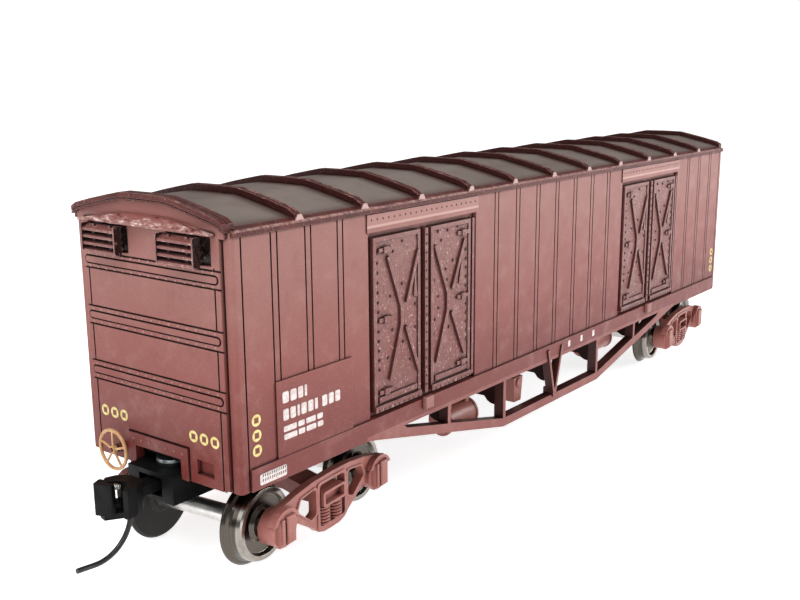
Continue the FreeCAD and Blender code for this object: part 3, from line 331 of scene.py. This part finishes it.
def roof_panels():
    """Smooth satin grey-brown panels, browner beside the ribs, with brown rough ribs and eaves.

    The ribs carry painted highlights on their edges, lump tops, tops and feet and painted shade on
    their sides and in their hollows; the eaves carry a painted highlight along their top edge.
    """
    n = Nodes("roof_paint")
    x, y = n.axis("X"), n.axis("Y")
    off = off_rib(n)
    side = n.math("ABSOLUTE", y)
    panel = n.math("MULTIPLY", n.steps(off, *RIB_EDGE), n.steps(side, *PANEL_Y))
    panel = n.math("MULTIPLY", panel, n.steps(n.math("ABSOLUTE", x), *PANEL_X))
    patch = n.noise(2.6, 4.0, 0.6)
    cloud = n.noise(14.0, 3.0, 0.5, (0.5, 1, 1))
    grain = n.noise(0.2, 2.0)
    casting = n.noise(0.45, 3.0, 0.62)
    grey = n.mix(n.steps(cloud, 0.35, 0.65), srgb(109, 95, 89), srgb(125, 112, 106))
    grey = n.mix(n.math("MULTIPLY", n.steps(patch, 0.45, 0.75), 0.25), grey, srgb(92, 70, 64))
    grey = n.mix(n.math("MULTIPLY", n.steps(off, 2.6, 0.5), 0.6), grey, srgb(66, 38, 34))
    grey = n.mix(n.math("MULTIPLY", n.steps(side, 11.4, 12.9), 0.55), grey, srgb(74, 44, 40))
    grey = n.mix(n.math("MULTIPLY", n.steps(grain, 0.5, 0.8), 0.12), grey, srgb(150, 138, 130))
    brown = n.mix(n.steps(patch, 0.3, 0.7), srgb(70, 25, 22), srgb(94, 43, 38))
    # Lump tops painted lighter as highlights, hollows darker as painted shade, edges pale as painted
    # highlights.
    brown = n.mix(n.math("MULTIPLY", n.steps(casting, 0.6, 0.72), 0.6), brown, srgb(176, 138, 130))
    brown = n.mix(n.math("MULTIPLY", n.steps(casting, 0.44, 0.3), 0.5), brown, srgb(50, 18, 16))
    rounded = n.soft_normal(0.08)
    brown = n.mix(n.math("MULTIPLY", n.edges(rounded), 0.8), brown, PALE_TONE)
    # Painted shade on the side faces of the ribs.
    shaded_side = n.math("MULTIPLY", n.steps(n.lean("X"), 0.5, 0.8), n.steps(n.far("X"), *RIB_CHEEK_X))
    brown = n.mix(n.math("MULTIPLY", shaded_side, 0.8), brown, srgb(52, 18, 15))
    # Painted highlights: pale streaks on the tops of the ribs.
    glint = n.noise(0.5, 3.0, 0.6, (1, 0.4, 1))
    top = n.math("MULTIPLY", n.steps(n.lean("Z"), 0.8, 0.95), n.steps(off, 0.62, 0.5))
    brown = n.mix(n.math("MULTIPLY", top, n.steps(glint, 0.52, 0.66)), brown, srgb(168, 118, 110))
    # Painted highlight along the top edge of the eaves.
    eave_highlight = n.math("MULTIPLY", n.steps(side, *LIP_Y), n.steps(n.axis("Z"), *LIP_Z))
    brown = n.mix(n.math("MULTIPLY", eave_highlight, n.steps(casting, 0.42, 0.6, 0.15, 0.8)), brown, PALE_TONE)
    # Rib feet painted light: painted highlight on their end faces.
    foot = n.math("MULTIPLY", n.steps(side, *FOOT_Y), n.steps(n.axis("Z"), *FOOT_Z))
    brown = n.mix(n.math("MULTIPLY", foot, 0.75), brown, srgb(206, 172, 166))
    colour = n.mix(panel, brown, grey)
    shade = n.steps(n.crevice(0.7), 0.2, 0.5)
    colour = n.mix(n.math("MULTIPLY", shade, 0.9), colour, srgb(34, 10, 9))
    rough_skin = n.bump(casting, 0.1, rounded, n.math("SUBTRACT", 1.0, panel))
    surface = n.bump(n.math("ADD", grain, patch), 0.012, rough_skin, 0.5)
    return n.finish(Base_Color=colour, Roughness=n.mix_value(panel, 0.4, 0.5), Normal=surface,
                    Specular_IOR_Level=0.26)


def plain(name, base, other, size, rough, metallic=0.0, depth=0.02, corner_shade=CORNER_SHADE, gloss=0.5):
    """A moulded or turned surface: two close tones, edges lightened as a painted highlight, corners
    darkened as painted shade, and fine bumps.
    """
    n = Nodes(name)
    patch = n.noise(size, 5.0, 0.6)
    grain = n.noise(size / 9, 2.0)
    colour = n.mix(n.steps(patch, 0.35, 0.7), base, other)
    rounded = n.soft_normal(0.06)
    # Edges lightened as a painted highlight.
    edge_highlight_tone = tuple(min(1.0, part * 1.9 + 0.02) for part in other[:3]) + (1.0,)
    colour = n.mix(n.math("MULTIPLY", n.edges(rounded), 0.35), colour, edge_highlight_tone)
    # Corners darkened as painted shade.
    colour = n.mix(n.math("MULTIPLY", n.steps(n.crevice(0.6), 0.35, 0.8), 0.8), colour, corner_shade)
    surface = n.bump(n.math("ADD", grain, patch), depth, rounded, 0.6)
    shine = n.steps(patch, 0.3, 0.75, rough + 0.08, rough - 0.08)
    return n.finish(Base_Color=colour, Roughness=shine, Metallic=metallic, Normal=surface,
                    Specular_IOR_Level=gloss)


def wheel_metal(name, centre, axis):
    """Blackened turned wheel: dark metal with turned rings, a worn rim in front, a dull back and pale
    edges as painted highlights.
    """
    n = Nodes(name)
    spoke = n.add("ShaderNodeVectorMath", {0: n.place, 1: centre}, operation="SUBTRACT").outputs[0]
    along = n.add("ShaderNodeVectorMath", {0: spoke, 1: axis}, operation="DOT_PRODUCT").outputs["Value"]
    across = n.add("ShaderNodeVectorMath", {0: spoke, 1: axis}, operation="CROSS_PRODUCT").outputs[0]
    radius = n.add("ShaderNodeVectorMath", {0: across}, operation="LENGTH").outputs["Value"]
    radius = n.math("MULTIPLY", radius, 1 / MM)
    place = n.math("ABSOLUTE", n.math("MULTIPLY", along, 1 / MM))
    rounded = n.soft_normal(0.06)
    back = n.steps(place, *WHEEL_BACK)
    worn = n.math("MULTIPLY", n.steps(radius, *RIM_RADIUS), n.steps(place, *WHEEL_FRONT))
    patch = n.noise(1.2, 5.0, 0.65)
    rings = n.add("ShaderNodeTexNoise", {"W": n.math("MULTIPLY", radius, 9.0), "Detail": 3.0},
                  noise_dimensions="1D").outputs[0]
    dull = n.mix(n.steps(patch, 0.35, 0.7), srgb(20, 16, 14), srgb(32, 27, 24))
    steel = n.mix(n.steps(rings, 0.3, 0.7), srgb(132, 126, 119), srgb(160, 155, 148))
    metal = n.mix(n.steps(rings, 0.3, 0.7), srgb(72, 66, 60), srgb(96, 90, 84))
    colour = n.mix(n.math("MULTIPLY", worn, n.steps(patch, 0.25, 0.5, 0.6, 1.0)), metal, steel)
    colour = n.mix(back, colour, dull)
    # Edges lightened as a painted highlight.
    colour = n.mix(n.math("MULTIPLY", n.edges(rounded), 0.45), colour, srgb(186, 180, 172))
    surface = n.bump(n.math("ADD", n.math("MULTIPLY", rings, 0.5), n.math("MULTIPLY", patch, 0.5)), 0.012,
                     rounded, 0.4)
    return n.finish(Base_Color=colour, Roughness=n.mix_value(back, 0.2, 0.5),
                    Metallic=n.mix_value(back, 1.0, 0.0), Normal=surface,
                    Specular_IOR_Level=0.3)


def axle_metal(name):
    """Bright turned steel with very fine turning marks."""
    n = Nodes(name)
    turning = n.noise(0.35, 2.0)
    patch = n.noise(2.5, 4.0, 0.6)
    colour = n.mix(n.steps(patch, 0.3, 0.7), srgb(196, 194, 190), srgb(226, 224, 220))
    surface = n.bump(turning, 0.006, n.soft_normal(0.05), 0.4)
    return n.finish(Base_Color=colour, Metallic=1.0, Roughness=n.steps(patch, 0.3, 0.7, 0.38, 0.28),
                    Normal=surface)


def washer_metal():
    """Bright above as a painted highlight, where it meets the floor, and near black below."""
    n = Nodes("washer_steel")
    patch = n.noise(0.8, 4.0, 0.6)
    # Painted highlight on the top, near black below.
    washer_highlight = n.mix(patch, srgb(170, 180, 182), srgb(222, 230, 232))
    share = n.steps(n.axis("Z"), *WASHER_TOP_Z)
    colour = n.mix(share, srgb(22, 24, 24), washer_highlight)
    surface = n.bump(patch, 0.015, n.soft_normal(0.06), 0.5)
    return n.finish(Base_Color=colour, Metallic=share, Roughness=0.32, Normal=surface)


MATERIALS = {}


def make_materials():
    low_heights = (3.0, 8.0, 13.0)
    MATERIALS.update(
        body=paint("body_paint", cover=end_arch, wet=end_header, bare=arch_step_unshaded),
        rough_body=paint("vent_paint", lumps=0.1, rough=0.3, gloss=0.5, corner_shade_range=(0.2, 0.5), reach=1.2,
                         rub_and_highlight=0.8, cover=vent_shade, pale=srgb(206, 168, 160),
                         tones=(srgb(106, 50, 45), srgb(118, 62, 56), srgb(124, 70, 64))),
        roof=roof_panels(),
        door=paint("door_paint", tones=(srgb(106, 50, 44), srgb(120, 66, 60), srgb(130, 86, 80)),
                   reach=0.8, corner_shade=srgb(54, 13, 11), corner_shade_range=(0.14, 0.4), round_off=0.1, lumps=0.09,
                   rough=0.36, gloss=0.42, rub_and_highlight=0.7, pale=srgb(208, 172, 165), fringe=0.8),
        # Dark rivet heads: painted shade round each head.
        rivet=paint("rivet_shade_paint", tones=(srgb(58, 22, 20), srgb(64, 26, 23), srgb(68, 30, 27)),
                    rough=0.32, pale=srgb(122, 76, 70), gloss=0.45),
        # Light keepers and end rivets: painted highlight, a lit copy of the rivet paint.
        stud=paint("stud_highlight_paint", tones=(srgb(142, 94, 87), srgb(160, 118, 111), srgb(170, 130, 124)),
                   rough=0.4, pale=srgb(214, 184, 178), corner_shade_range=(0.4, 0.8)),
        truss=paint("truss_paint", tones=(srgb(122, 60, 53), srgb(132, 72, 65), srgb(132, 74, 68)),
                    reach=0.6, pale=srgb(196, 142, 132), heights=low_heights, cover=truss_shade),
        # Cross bearers and centre sill nearly black: painted shade under the wagon.
        bearer=paint("bearer_shade_paint", tones=(srgb(26, 9, 7), srgb(30, 11, 9), srgb(34, 13, 11)),
                     pale=srgb(64, 30, 26), heights=low_heights, gloss=0.1),
        bogie=paint("bogie_paint", reach=0.8, corner_shade_range=(0.3, 0.7), round_off=0.11, rough=0.36,
                    tones=(srgb(146, 84, 75), srgb(156, 95, 86), srgb(156, 96, 88)), heights=low_heights,
                    pale=srgb(208, 154, 144), rub_and_highlight=0.95),
        black=plain("coupler_plastic", srgb(8, 9, 9), srgb(17, 18, 18), 1.5, 0.5, gloss=0.14,
                    corner_shade=srgb(4, 4, 4)),
        dark_floor=plain("floor_plastic", srgb(11, 9, 8), srgb(18, 16, 15), 4.0, 0.6, gloss=0.1,
                         corner_shade=srgb(5, 4, 4)),
        brass=plain("handwheel_brass", srgb(190, 142, 96), srgb(216, 172, 124), 1.2, 0.4, 0.15,
                    corner_shade=srgb(120, 72, 36)),
        yellow=plain("ring_yellow", srgb(214, 194, 118), srgb(232, 218, 150), 0.6, 0.5,
                     corner_shade=srgb(128, 92, 40)),
        white=plain("marking_white", srgb(206, 190, 186), srgb(232, 222, 219), 0.5, 0.55,
                    corner_shade=srgb(120, 80, 74)),
        steel=plain("screw_steel", srgb(130, 128, 124), srgb(176, 174, 170), 0.8, 0.3, 0.9),
        washer=washer_metal(),
        ballast=plain("ballast_steel", srgb(96, 94, 92), srgb(130, 126, 120), 6.0, 0.45, 0.8),
        wire=plain("trip_wire", srgb(24, 26, 27), srgb(40, 42, 43), 1.0, 0.4, 0.1, depth=0.01),
        bronze=plain("spring_bronze", srgb(150, 96, 46), srgb(186, 130, 70), 0.9, 0.32, 0.9),
        bush=plain("bush_plastic", srgb(20, 19, 18), srgb(34, 32, 31), 0.8, 0.5),
        axle=axle_metal("axle_steel"),
    )


# What each CAD node is finished in, by the start of its name. Wheels and bearing cups are set apart.
NODE_FINISH = {
    "body_shell": "body",
    "roof": "roof",
    "door_": "door",
    "door_keepers": "stud",
    "truss_": "truss",
    "cross_bearers": "bearer",
    "centre_sill": "bearer",
    "floor": "dark_floor",
    "ballast_weight": "ballast",
    "brake_cylinder": "bogie",
    "air_reservoir": "bogie",
    "control_valve": "bogie",
    "handwheel": "brass",
    "handwheel_spindle": "body",
    "bogie_screws": "steel",
    "coupler_screws": "steel",
    "coupler_washers": "washer",
    "coupler_box": "black",
    "coupler_head": "black",
    "knuckle": "black",
    "centring_spring": "bronze",
    "trip_pin": "wire",
    "end_vents": "rough_body",
    "bogie_": "bogie",
    "axle_": "axle",
    "insulating_bush_": "bush",
}


def finish_nodes():
    """Give every CAD node the finish whose name in NODE_FINISH is the longest match."""
    for name, piece in nodes.items():
        if name.startswith("wheel_"):
            number = name.split("_")[1]
            key = "wheel_" + number
            if key not in MATERIALS:
                low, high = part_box("axle_" + number)
                turn = math.radians(BOGIE_TURN)
                axis = Vector((-math.sin(turn), math.cos(turn), 0))
                MATERIALS[key] = wheel_metal(key + "_metal", (low + high) / 2, axis)
        elif name.endswith("bearing_cups"):
            key = "bronze"
        else:
            match = max((start for start in NODE_FINISH if name.startswith(start)), key=len)
            key = NODE_FINISH[match]
        for index in range(max(1, len(piece.material_slots))):
            if len(piece.material_slots) <= index:
                piece.data.materials.append(MATERIALS[key])
            piece.material_slots[index].material = MATERIALS[key]


# ------------------------------------------------------------- new pieces

def save_piece(mesh_work, name, body, finish, moves):
    """Turn a bmesh drawn in millimetres into a piece that rides on a body, one copy to each move."""
    first = list(mesh_work.verts) + list(mesh_work.edges) + list(mesh_work.faces)
    for move in moves[1:]:
        copy = bmesh.ops.duplicate(mesh_work, geom=first)
        points = [item for item in copy["geom"] if isinstance(item, bmesh.types.BMVert)]
        bmesh.ops.transform(mesh_work, matrix=move, verts=points)
    originals = [item for item in first if isinstance(item, bmesh.types.BMVert)]
    bmesh.ops.transform(mesh_work, matrix=moves[0], verts=originals)
    bmesh.ops.recalc_face_normals(mesh_work, faces=mesh_work.faces)
    bmesh.ops.scale(mesh_work, vec=(MM, MM, MM), verts=mesh_work.verts)
    mesh = bpy.data.meshes.new(name)
    mesh_work.to_mesh(mesh)
    mesh_work.free()
    for face in mesh.polygons:
        face.use_smooth = True
    mesh.set_sharp_from_angle(angle=SMOOTH_ANGLE)
    piece = bpy.data.objects.new(name, mesh)
    bpy.context.scene.collection.objects.link(piece)
    mesh.materials.append(MATERIALS[finish])
    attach(piece, body)


def on_side(x, z, out):
    """A point of the left side: out is measured from the middle of the wagon."""
    return Vector((x, -out, z))


def on_end(y, z, out):
    """A point of the front end: out is measured from the middle of the wagon."""
    return Vector((-out, y, z))


def lathe(work, centre, axis, profile, segments):
    """A closed turned shape about axis; profile is (distance along, radius), ends on the axis."""
    axis = axis.normalized()
    side = axis.orthogonal().normalized()
    other = axis.cross(side)
    rings = []
    for along, radius in profile:
        if radius == 0:
            rings.append([work.verts.new(centre + axis * along)])
            continue
        ring = []
        for step in range(segments):
            angle = 2 * math.pi * step / segments
            ring.append(work.verts.new(centre + axis * along + side * radius * math.cos(angle)
                                       + other * radius * math.sin(angle)))
        rings.append(ring)
    for low, high in zip(rings, rings[1:]):
        for step in range(segments):
            after = (step + 1) % segments
            corners = [low[step % len(low)], low[after % len(low)], high[after % len(high)],
                       high[step % len(high)]]
            unique = list(dict.fromkeys(corners))
            if len(unique) > 2:
                work.faces.new(unique)


RIVET_ROOT = 0.05      # how far a rivet head reaches into the surface that it stands on


def rivet(work, centre, outward, radius, height):
    """A round head that stands height over centre, a point of the surface."""
    lathe(work, centre - outward * RIVET_ROOT, outward,
          [(0, 0), (0, radius), (RIVET_ROOT + height * 0.35, radius * 0.94),
           (RIVET_ROOT + height * 0.8, radius * 0.6), (RIVET_ROOT + height, 0)], 10)


def pad(work, corners, outward, thick, chamfer):
    """A flat raised shape with a chamfered edge; corners are on the surface it stands on."""
    middle = sum(corners, Vector()) / len(corners)
    base = [work.verts.new(corner - outward * 0.04) for corner in corners]
    shoulder = [work.verts.new(corner + outward * (thick - chamfer)) for corner in corners]
    top = []
    for corner in corners:
        inward = middle - corner
        inward.normalize()
        top.append(work.verts.new(corner + inward * chamfer * 1.4 + outward * thick))
    count = len(corners)
    for low, high in ((base, shoulder), (shoulder, top)):
        for step in range(count):
            after = (step + 1) % count
            work.faces.new([low[step], low[after], high[after], high[step]])
    work.faces.new(top)
    work.faces.new(list(reversed(base)))


def rounded_corners(width, height, radius, steps=3):
    """(across, up) points of a rounded rectangle about its middle."""
    points = []
    for quarter, (sx, sz) in enumerate(((1, 1), (-1, 1), (-1, -1), (1, -1))):
        for step in range(steps + 1):
            angle = math.pi / 2 * (quarter + step / steps)
            points.append((sx * (width / 2 - radius) + radius * math.cos(angle),
                           sz * (height / 2 - radius) + radius * math.sin(angle)))
    return points


def door_rivets():
    """Round heads up the stiles and the post, bolts over the leaves, two rows on the bottom rail.

    The hinge bolts are measured from the inner face of the door, so they end up inside the doors of
    the other side, out of sight."""
    work = bmesh.new()
    spots = [(-46.5 + 0.03 * step, 36.6 - 1.3 * step) for step in range(13)]
    spots += [(-26.4 + 0.03 * step, 34.3 - 1.33 * step) for step in range(11)]
    spots += [
        (-41.2, 37.5), (-43.2, 36.4), (-43.0, 33.0), (-41.3, 31.8), (-43.8, 30.5), (-43.4, 25.9),
        (-41.1, 23.8), (-38.4, 28.5), (-38.4, 25.3), (-38.0, 37.6), (-44.4, 22.3), (-39.6, 21.0),
        (-33.2, 37.7), (-30.9, 37.6), (-28.5, 37.9), (-33.5, 33.4), (-31.3, 32.2), (-31.0, 30.6),
        (-28.6, 30.9), (-34.1, 31.0), (-33.1, 28.6), (-33.0, 26.9), (-33.9, 25.4), (-30.5, 23.7),
        (-34.2, 23.4), (-28.9, 22.6), (-29.6, 33.2), (-32.4, 36.4)]
    for x, z in spots:
        rivet(work, on_side(x, z, DOOR_FACE), OUT_LEFT, rng.uniform(0.2, 0.26), 0.2)
    for step in range(18):
        rivet(work, on_side(-35.95, 16.6 + 1.24 * step, DOOR_FACE + 0.15), OUT_LEFT, 0.17, 0.12)
    for start in (-46.6, -34.0):
        for step in range(9):
            rivet(work, on_side(start + 1.05 * step, 15.55, DOOR_FACE + 0.4), OUT_LEFT, 0.19, 0.08)
            rivet(work, on_side(start + 0.4 + 1.05 * step, 16.6, DOOR_FACE), OUT_LEFT, 0.13, 0.08)
    inner_face = high_corner("door_left_front").y
    for hinge, reach in ((-45.2, 1.0), (-27.1, -1.0)):
        for z in (36.9, 27.7, 17.9):
            for step in (-0.9, 0.0, 0.9):
                out = inner_face - 0.12 - abs(step) * 0.05
                rivet(work, on_side(hinge + step * reach, z, out), OUT_LEFT, 0.17, 0.08)
    save_piece(work, "door_rivets", "wagon", "rivet", DOOR_PLACES)


def header_rivets():
    """One row of small heads along the foot of the header strip over each door."""
    work = bmesh.new()
    for step in range(21):
        rivet(work, on_side(-47.55 + 1.17 * step, 40.95, plate_y + 0.18), OUT_LEFT, 0.14, 0.08)
    save_piece(work, "header_rivets", "wagon", "rivet", DOOR_PLACES)


def end_rivets():
    """Rivet rows above and below each slot of the end strips, and round the coupler opening."""
    work = bmesh.new()
    for middle in (36.93, 29.95, 22.9):
        for side in (-0.8, 0.8):
            for step in range(-7, 8):
                rivet(work, on_end(step * 1.56, middle + side, end_x), OUT_FRONT, 0.17, 0.1)
    for step in range(-3, 4):
        rivet(work, on_end(step * 1.5, 15.2, end_x + 0.25), OUT_FRONT, 0.17, 0.1)
    save_piece(work, "end_rivets", "wagon", "stud", BOTH_ENDS)


RING_INNER = 0.36
RING_OUTER = 0.72
RING_THICK = 0.03
NOTCH = 0.16


def ring_flat(work, centre, outward):
    """A flat printed ring whose hole has four small notches, like a cross."""
    side = outward.orthogonal().normalized()
    other = outward.cross(side)
    count = 48
    section = [(-0.03, RING_INNER, 1), (-0.03, RING_OUTER, 0), (RING_THICK * 0.6, RING_OUTER, 0),
               (RING_THICK, RING_OUTER - 0.04, 0), (RING_THICK, RING_INNER + 0.03, 1),
               (RING_THICK * 0.6, RING_INNER, 1)]
    rings = []
    for along, radius, notched in section:
        ring = []
        for k in range(count):
            turn = 2 * math.pi * k / count
            reach = radius + notched * NOTCH * max(0.0, math.cos(4 * turn)) ** 3
            ring.append(work.verts.new(centre + outward * along
                                       + (side * math.cos(turn) + other * math.sin(turn)) * reach))
        rings.append(ring)
    for index, low in enumerate(rings):
        high = rings[(index + 1) % len(rings)]
        for k in range(count):
            after = (k + 1) % count
            work.faces.new([low[k], low[after], high[after], high[k]])


def yellow_rings():
    """Three rings in a column at each end of a side, and three in a row at each foot of an end."""
    work = bmesh.new()
    for z in (20.34, 18.5, 16.67):
        for x in (-68.5, 68.5):
            ring_flat(work, on_side(x, z, plate_y), OUT_LEFT)
    for side in (-1, 1):
        for y in (6.35, 8.17, 10.0):
            ring_flat(work, on_end(side * y, 17.75, end_x), OUT_FRONT)
    save_piece(work, "yellow_rings", "wagon", "yellow", BOTH_ENDS)


COIL_STEPS = 14        # to a turn
WIRE_SIDES = 6


def coil(work, centre, axis, radius, wire, turns, pitch):
    """A small closed-ended helix of round wire about axis; wire is half its thickness."""
    axis = axis.normalized()
    side = axis.orthogonal().normalized()
    other = axis.cross(side)
    steps = turns * COIL_STEPS
    previous = None
    for step in range(steps + 1):
        turn = 2 * math.pi * step / COIL_STEPS
        spoke = side * math.cos(turn) + other * math.sin(turn)
        middle = centre + spoke * radius + axis * pitch * (step / COIL_STEPS - turns / 2)
        taper = 0.35 if step in (0, steps) else 1.0
        ring = []
        for k in range(WIRE_SIDES):
            angle = 2 * math.pi * k / WIRE_SIDES
            ring.append(work.verts.new(middle + (spoke * math.cos(angle)
                                                 + axis * math.sin(angle)) * wire * taper))
        if previous:
            for k in range(WIRE_SIDES):
                after = (k + 1) % WIRE_SIDES
                work.faces.new([previous[k], previous[after], ring[after], ring[k]])
        else:
            work.faces.new(list(reversed(ring)))
        previous = ring
    work.faces.new(previous)


def knuckle_springs():
    """The fine steel coil seen in the jaw of each coupler."""
    for place, move in zip(("front", "rear"), BOTH_ENDS):
        work = bmesh.new()
        coil(work, Vector((-77.85, 0.35, 11.9)), Vector((0.35, -1, 0)), 0.3, 0.075, 4, 0.24)
        save_piece(work, "knuckle_spring_" + place, "coupler_" + place, "axle", [move])


def bar_mark(work, x0, x1, z0, z1, out):
    """A plain painted bar with rounded corners on the left side."""
    middle_x, middle_z = (x0 + x1) / 2, (z0 + z1) / 2
    radius = min(x1 - x0, z1 - z0) * 0.22
    corners = [on_side(middle_x + u, middle_z + w, out)
               for u, w in rounded_corners(x1 - x0, z1 - z0, radius)]
    pad(work, corners, OUT_LEFT, 0.03, 0.015)


def white_marks():
    """Plain bars where the wagon carries its painted data, and the hatched patch on the sill."""
    work = bmesh.new()
    out = plate_y + 0.2
    # Each row of bars: height of its foot, height of a bar, start along the side, widths.
    rows = (
        (21.25, 1.4, -64.35, (1.05, 1.05, 0.85, 0.4)),
        (19.1, 1.4, -64.3, (0.92, 0.92, 0.4, 0.92, 0.92, 0.5)),
        (19.1, 1.4, -57.5, (0.92, 0.92, 0.92)),
        (17.7, 0.7, -64.3, (2.2, 1.1, 1.7, 1.0)),
        (16.7, 0.7, -64.25, (2.2, 1.1, 1.7, 1.0)),
    )
    for z, tall, x, widths in rows:
        for wide in widths:
            bar_mark(work, x, x + wide, z, z + tall, out)
            x += wide + 0.28
    for index in range(3):
        x = 4.6 + index * 4.4
        bar_mark(work, x, x + 0.75, 13.0, 14.1, sill_y)
    save_piece(work, "white_bars", "wagon", "white", BOTH_ENDS)
    work = bmesh.new()
    corners = [on_side(-66.33 + u, 13.08 + w, sill_y) for u, w in rounded_corners(4.4, 1.35, 0.2)]
    pad(work, corners, OUT_LEFT, 0.05, 0.02)
    save_piece(work, "sill_patch", "wagon", "white", BOTH_ENDS)
    work = bmesh.new()
    for row in (12.78, 13.35):
        for step in range(11):
            x = -68.18 + 0.37 * step
            corners = [on_side(x, row, sill_y + 0.05), on_side(x + 0.12, row, sill_y + 0.05),
                       on_side(x + 0.24, row + 0.34, sill_y + 0.05),
                       on_side(x + 0.12, row + 0.34, sill_y + 0.05)]
            pad(work, corners, OUT_LEFT, 0.02, 0.008)
    save_piece(work, "sill_patch_ticks", "wagon", "black", BOTH_ENDS)


# ------------------------------------------------------------------- stage

FLOOR_DROP = 0.0002        # keeps the floor just clear of the wheels


def make_floor():
    """A plain pale floor that nearly fades into the white behind."""
    work = bmesh.new()
    bmesh.ops.create_grid(work, x_segments=8, y_segments=8, size=3.0)
    mesh = bpy.data.meshes.new("studio_floor")
    work.to_mesh(mesh)
    work.free()
    floor = bpy.data.objects.new("studio_floor", mesh)
    floor.location.z = -FLOOR_DROP
    bpy.context.scene.collection.objects.link(floor)
    n = Nodes("studio_floor")
    n.finish(Base_Color=(0.9, 0.9, 0.905, 1), Roughness=0.7, Emission_Color=(1, 1, 1, 1),
             Emission_Strength=0.78, Specular_IOR_Level=0.1)
    mesh.materials.append(n.material)


def area_light(name, place, aim, size, power):
    """A white panel light at place, turned toward aim; size is its width and height."""
    data = bpy.data.lights.new(name, "AREA")
    data.shape = "RECTANGLE"
    data.size, data.size_y = size
    data.energy = power
    light = bpy.data.objects.new(name, data)
    light.location = place
    light.rotation_euler = (Vector(aim) - Vector(place)).to_track_quat("-Z", "Y").to_euler()
    bpy.context.scene.collection.objects.link(light)


HORIZON_LIGHT = 0.16
ZENITH_LIGHT = 0.42
BACKDROP_LIGHT = 1.05


def make_world():
    """White behind the wagon, and a softer grey sky, dim at the horizon, for light and reflections."""
    world = bpy.data.worlds.new("studio")
    world.use_nodes = True
    tree = world.node_tree
    sky = tree.nodes["Background"]
    place = tree.nodes.new("ShaderNodeTexCoord")
    parts = tree.nodes.new("ShaderNodeSeparateXYZ")
    rise = tree.nodes.new("ShaderNodeMapRange")
    rise.inputs[1].default_value, rise.inputs[2].default_value = 0.0, 0.7
    rise.inputs[3].default_value, rise.inputs[4].default_value = HORIZON_LIGHT, ZENITH_LIGHT
    seen = tree.nodes.new("ShaderNodeLightPath")
    pick = tree.nodes.new("ShaderNodeMix")
    tree.links.new(place.outputs["Generated"], parts.inputs[0])
    tree.links.new(parts.outputs["Z"], rise.inputs[0])
    tree.links.new(seen.outputs["Is Camera Ray"], pick.inputs[0])
    tree.links.new(rise.outputs[0], pick.inputs[2])
    pick.inputs[3].default_value = BACKDROP_LIGHT
    tree.links.new(pick.outputs[0], sky.inputs[1])
    sky.inputs[0].default_value = (1, 1, 1, 1)
    bpy.context.scene.world = world


def make_studio():
    """Plain soft studio light from four panels and the sky."""
    bpy.context.scene.view_settings.view_transform = "Standard"
    make_world()
    area_light("roof_box", (-0.26, -0.05, 0.36), (-0.05, 0, 0.04), (0.2, 0.2), 0.9)
    area_light("side_box", (0.42, -0.36, 0.2), (0.08, 0, 0.035), (0.35, 0.2), 2.1)
    area_light("end_box", (-0.5, 0.16, 0.28), (-0.07, 0, 0.04), (0.25, 0.2), 0.25)
    area_light("low_box", (-0.6, -0.35, 0.1), (-0.05, 0, 0.01), (0.12, 0.25), 0.3)
    make_floor()


make_camera()
make_materials()
finish_nodes()
door_rivets()
header_rivets()
end_rivets()
yellow_rings()
knuckle_springs()
white_marks()
make_studio()
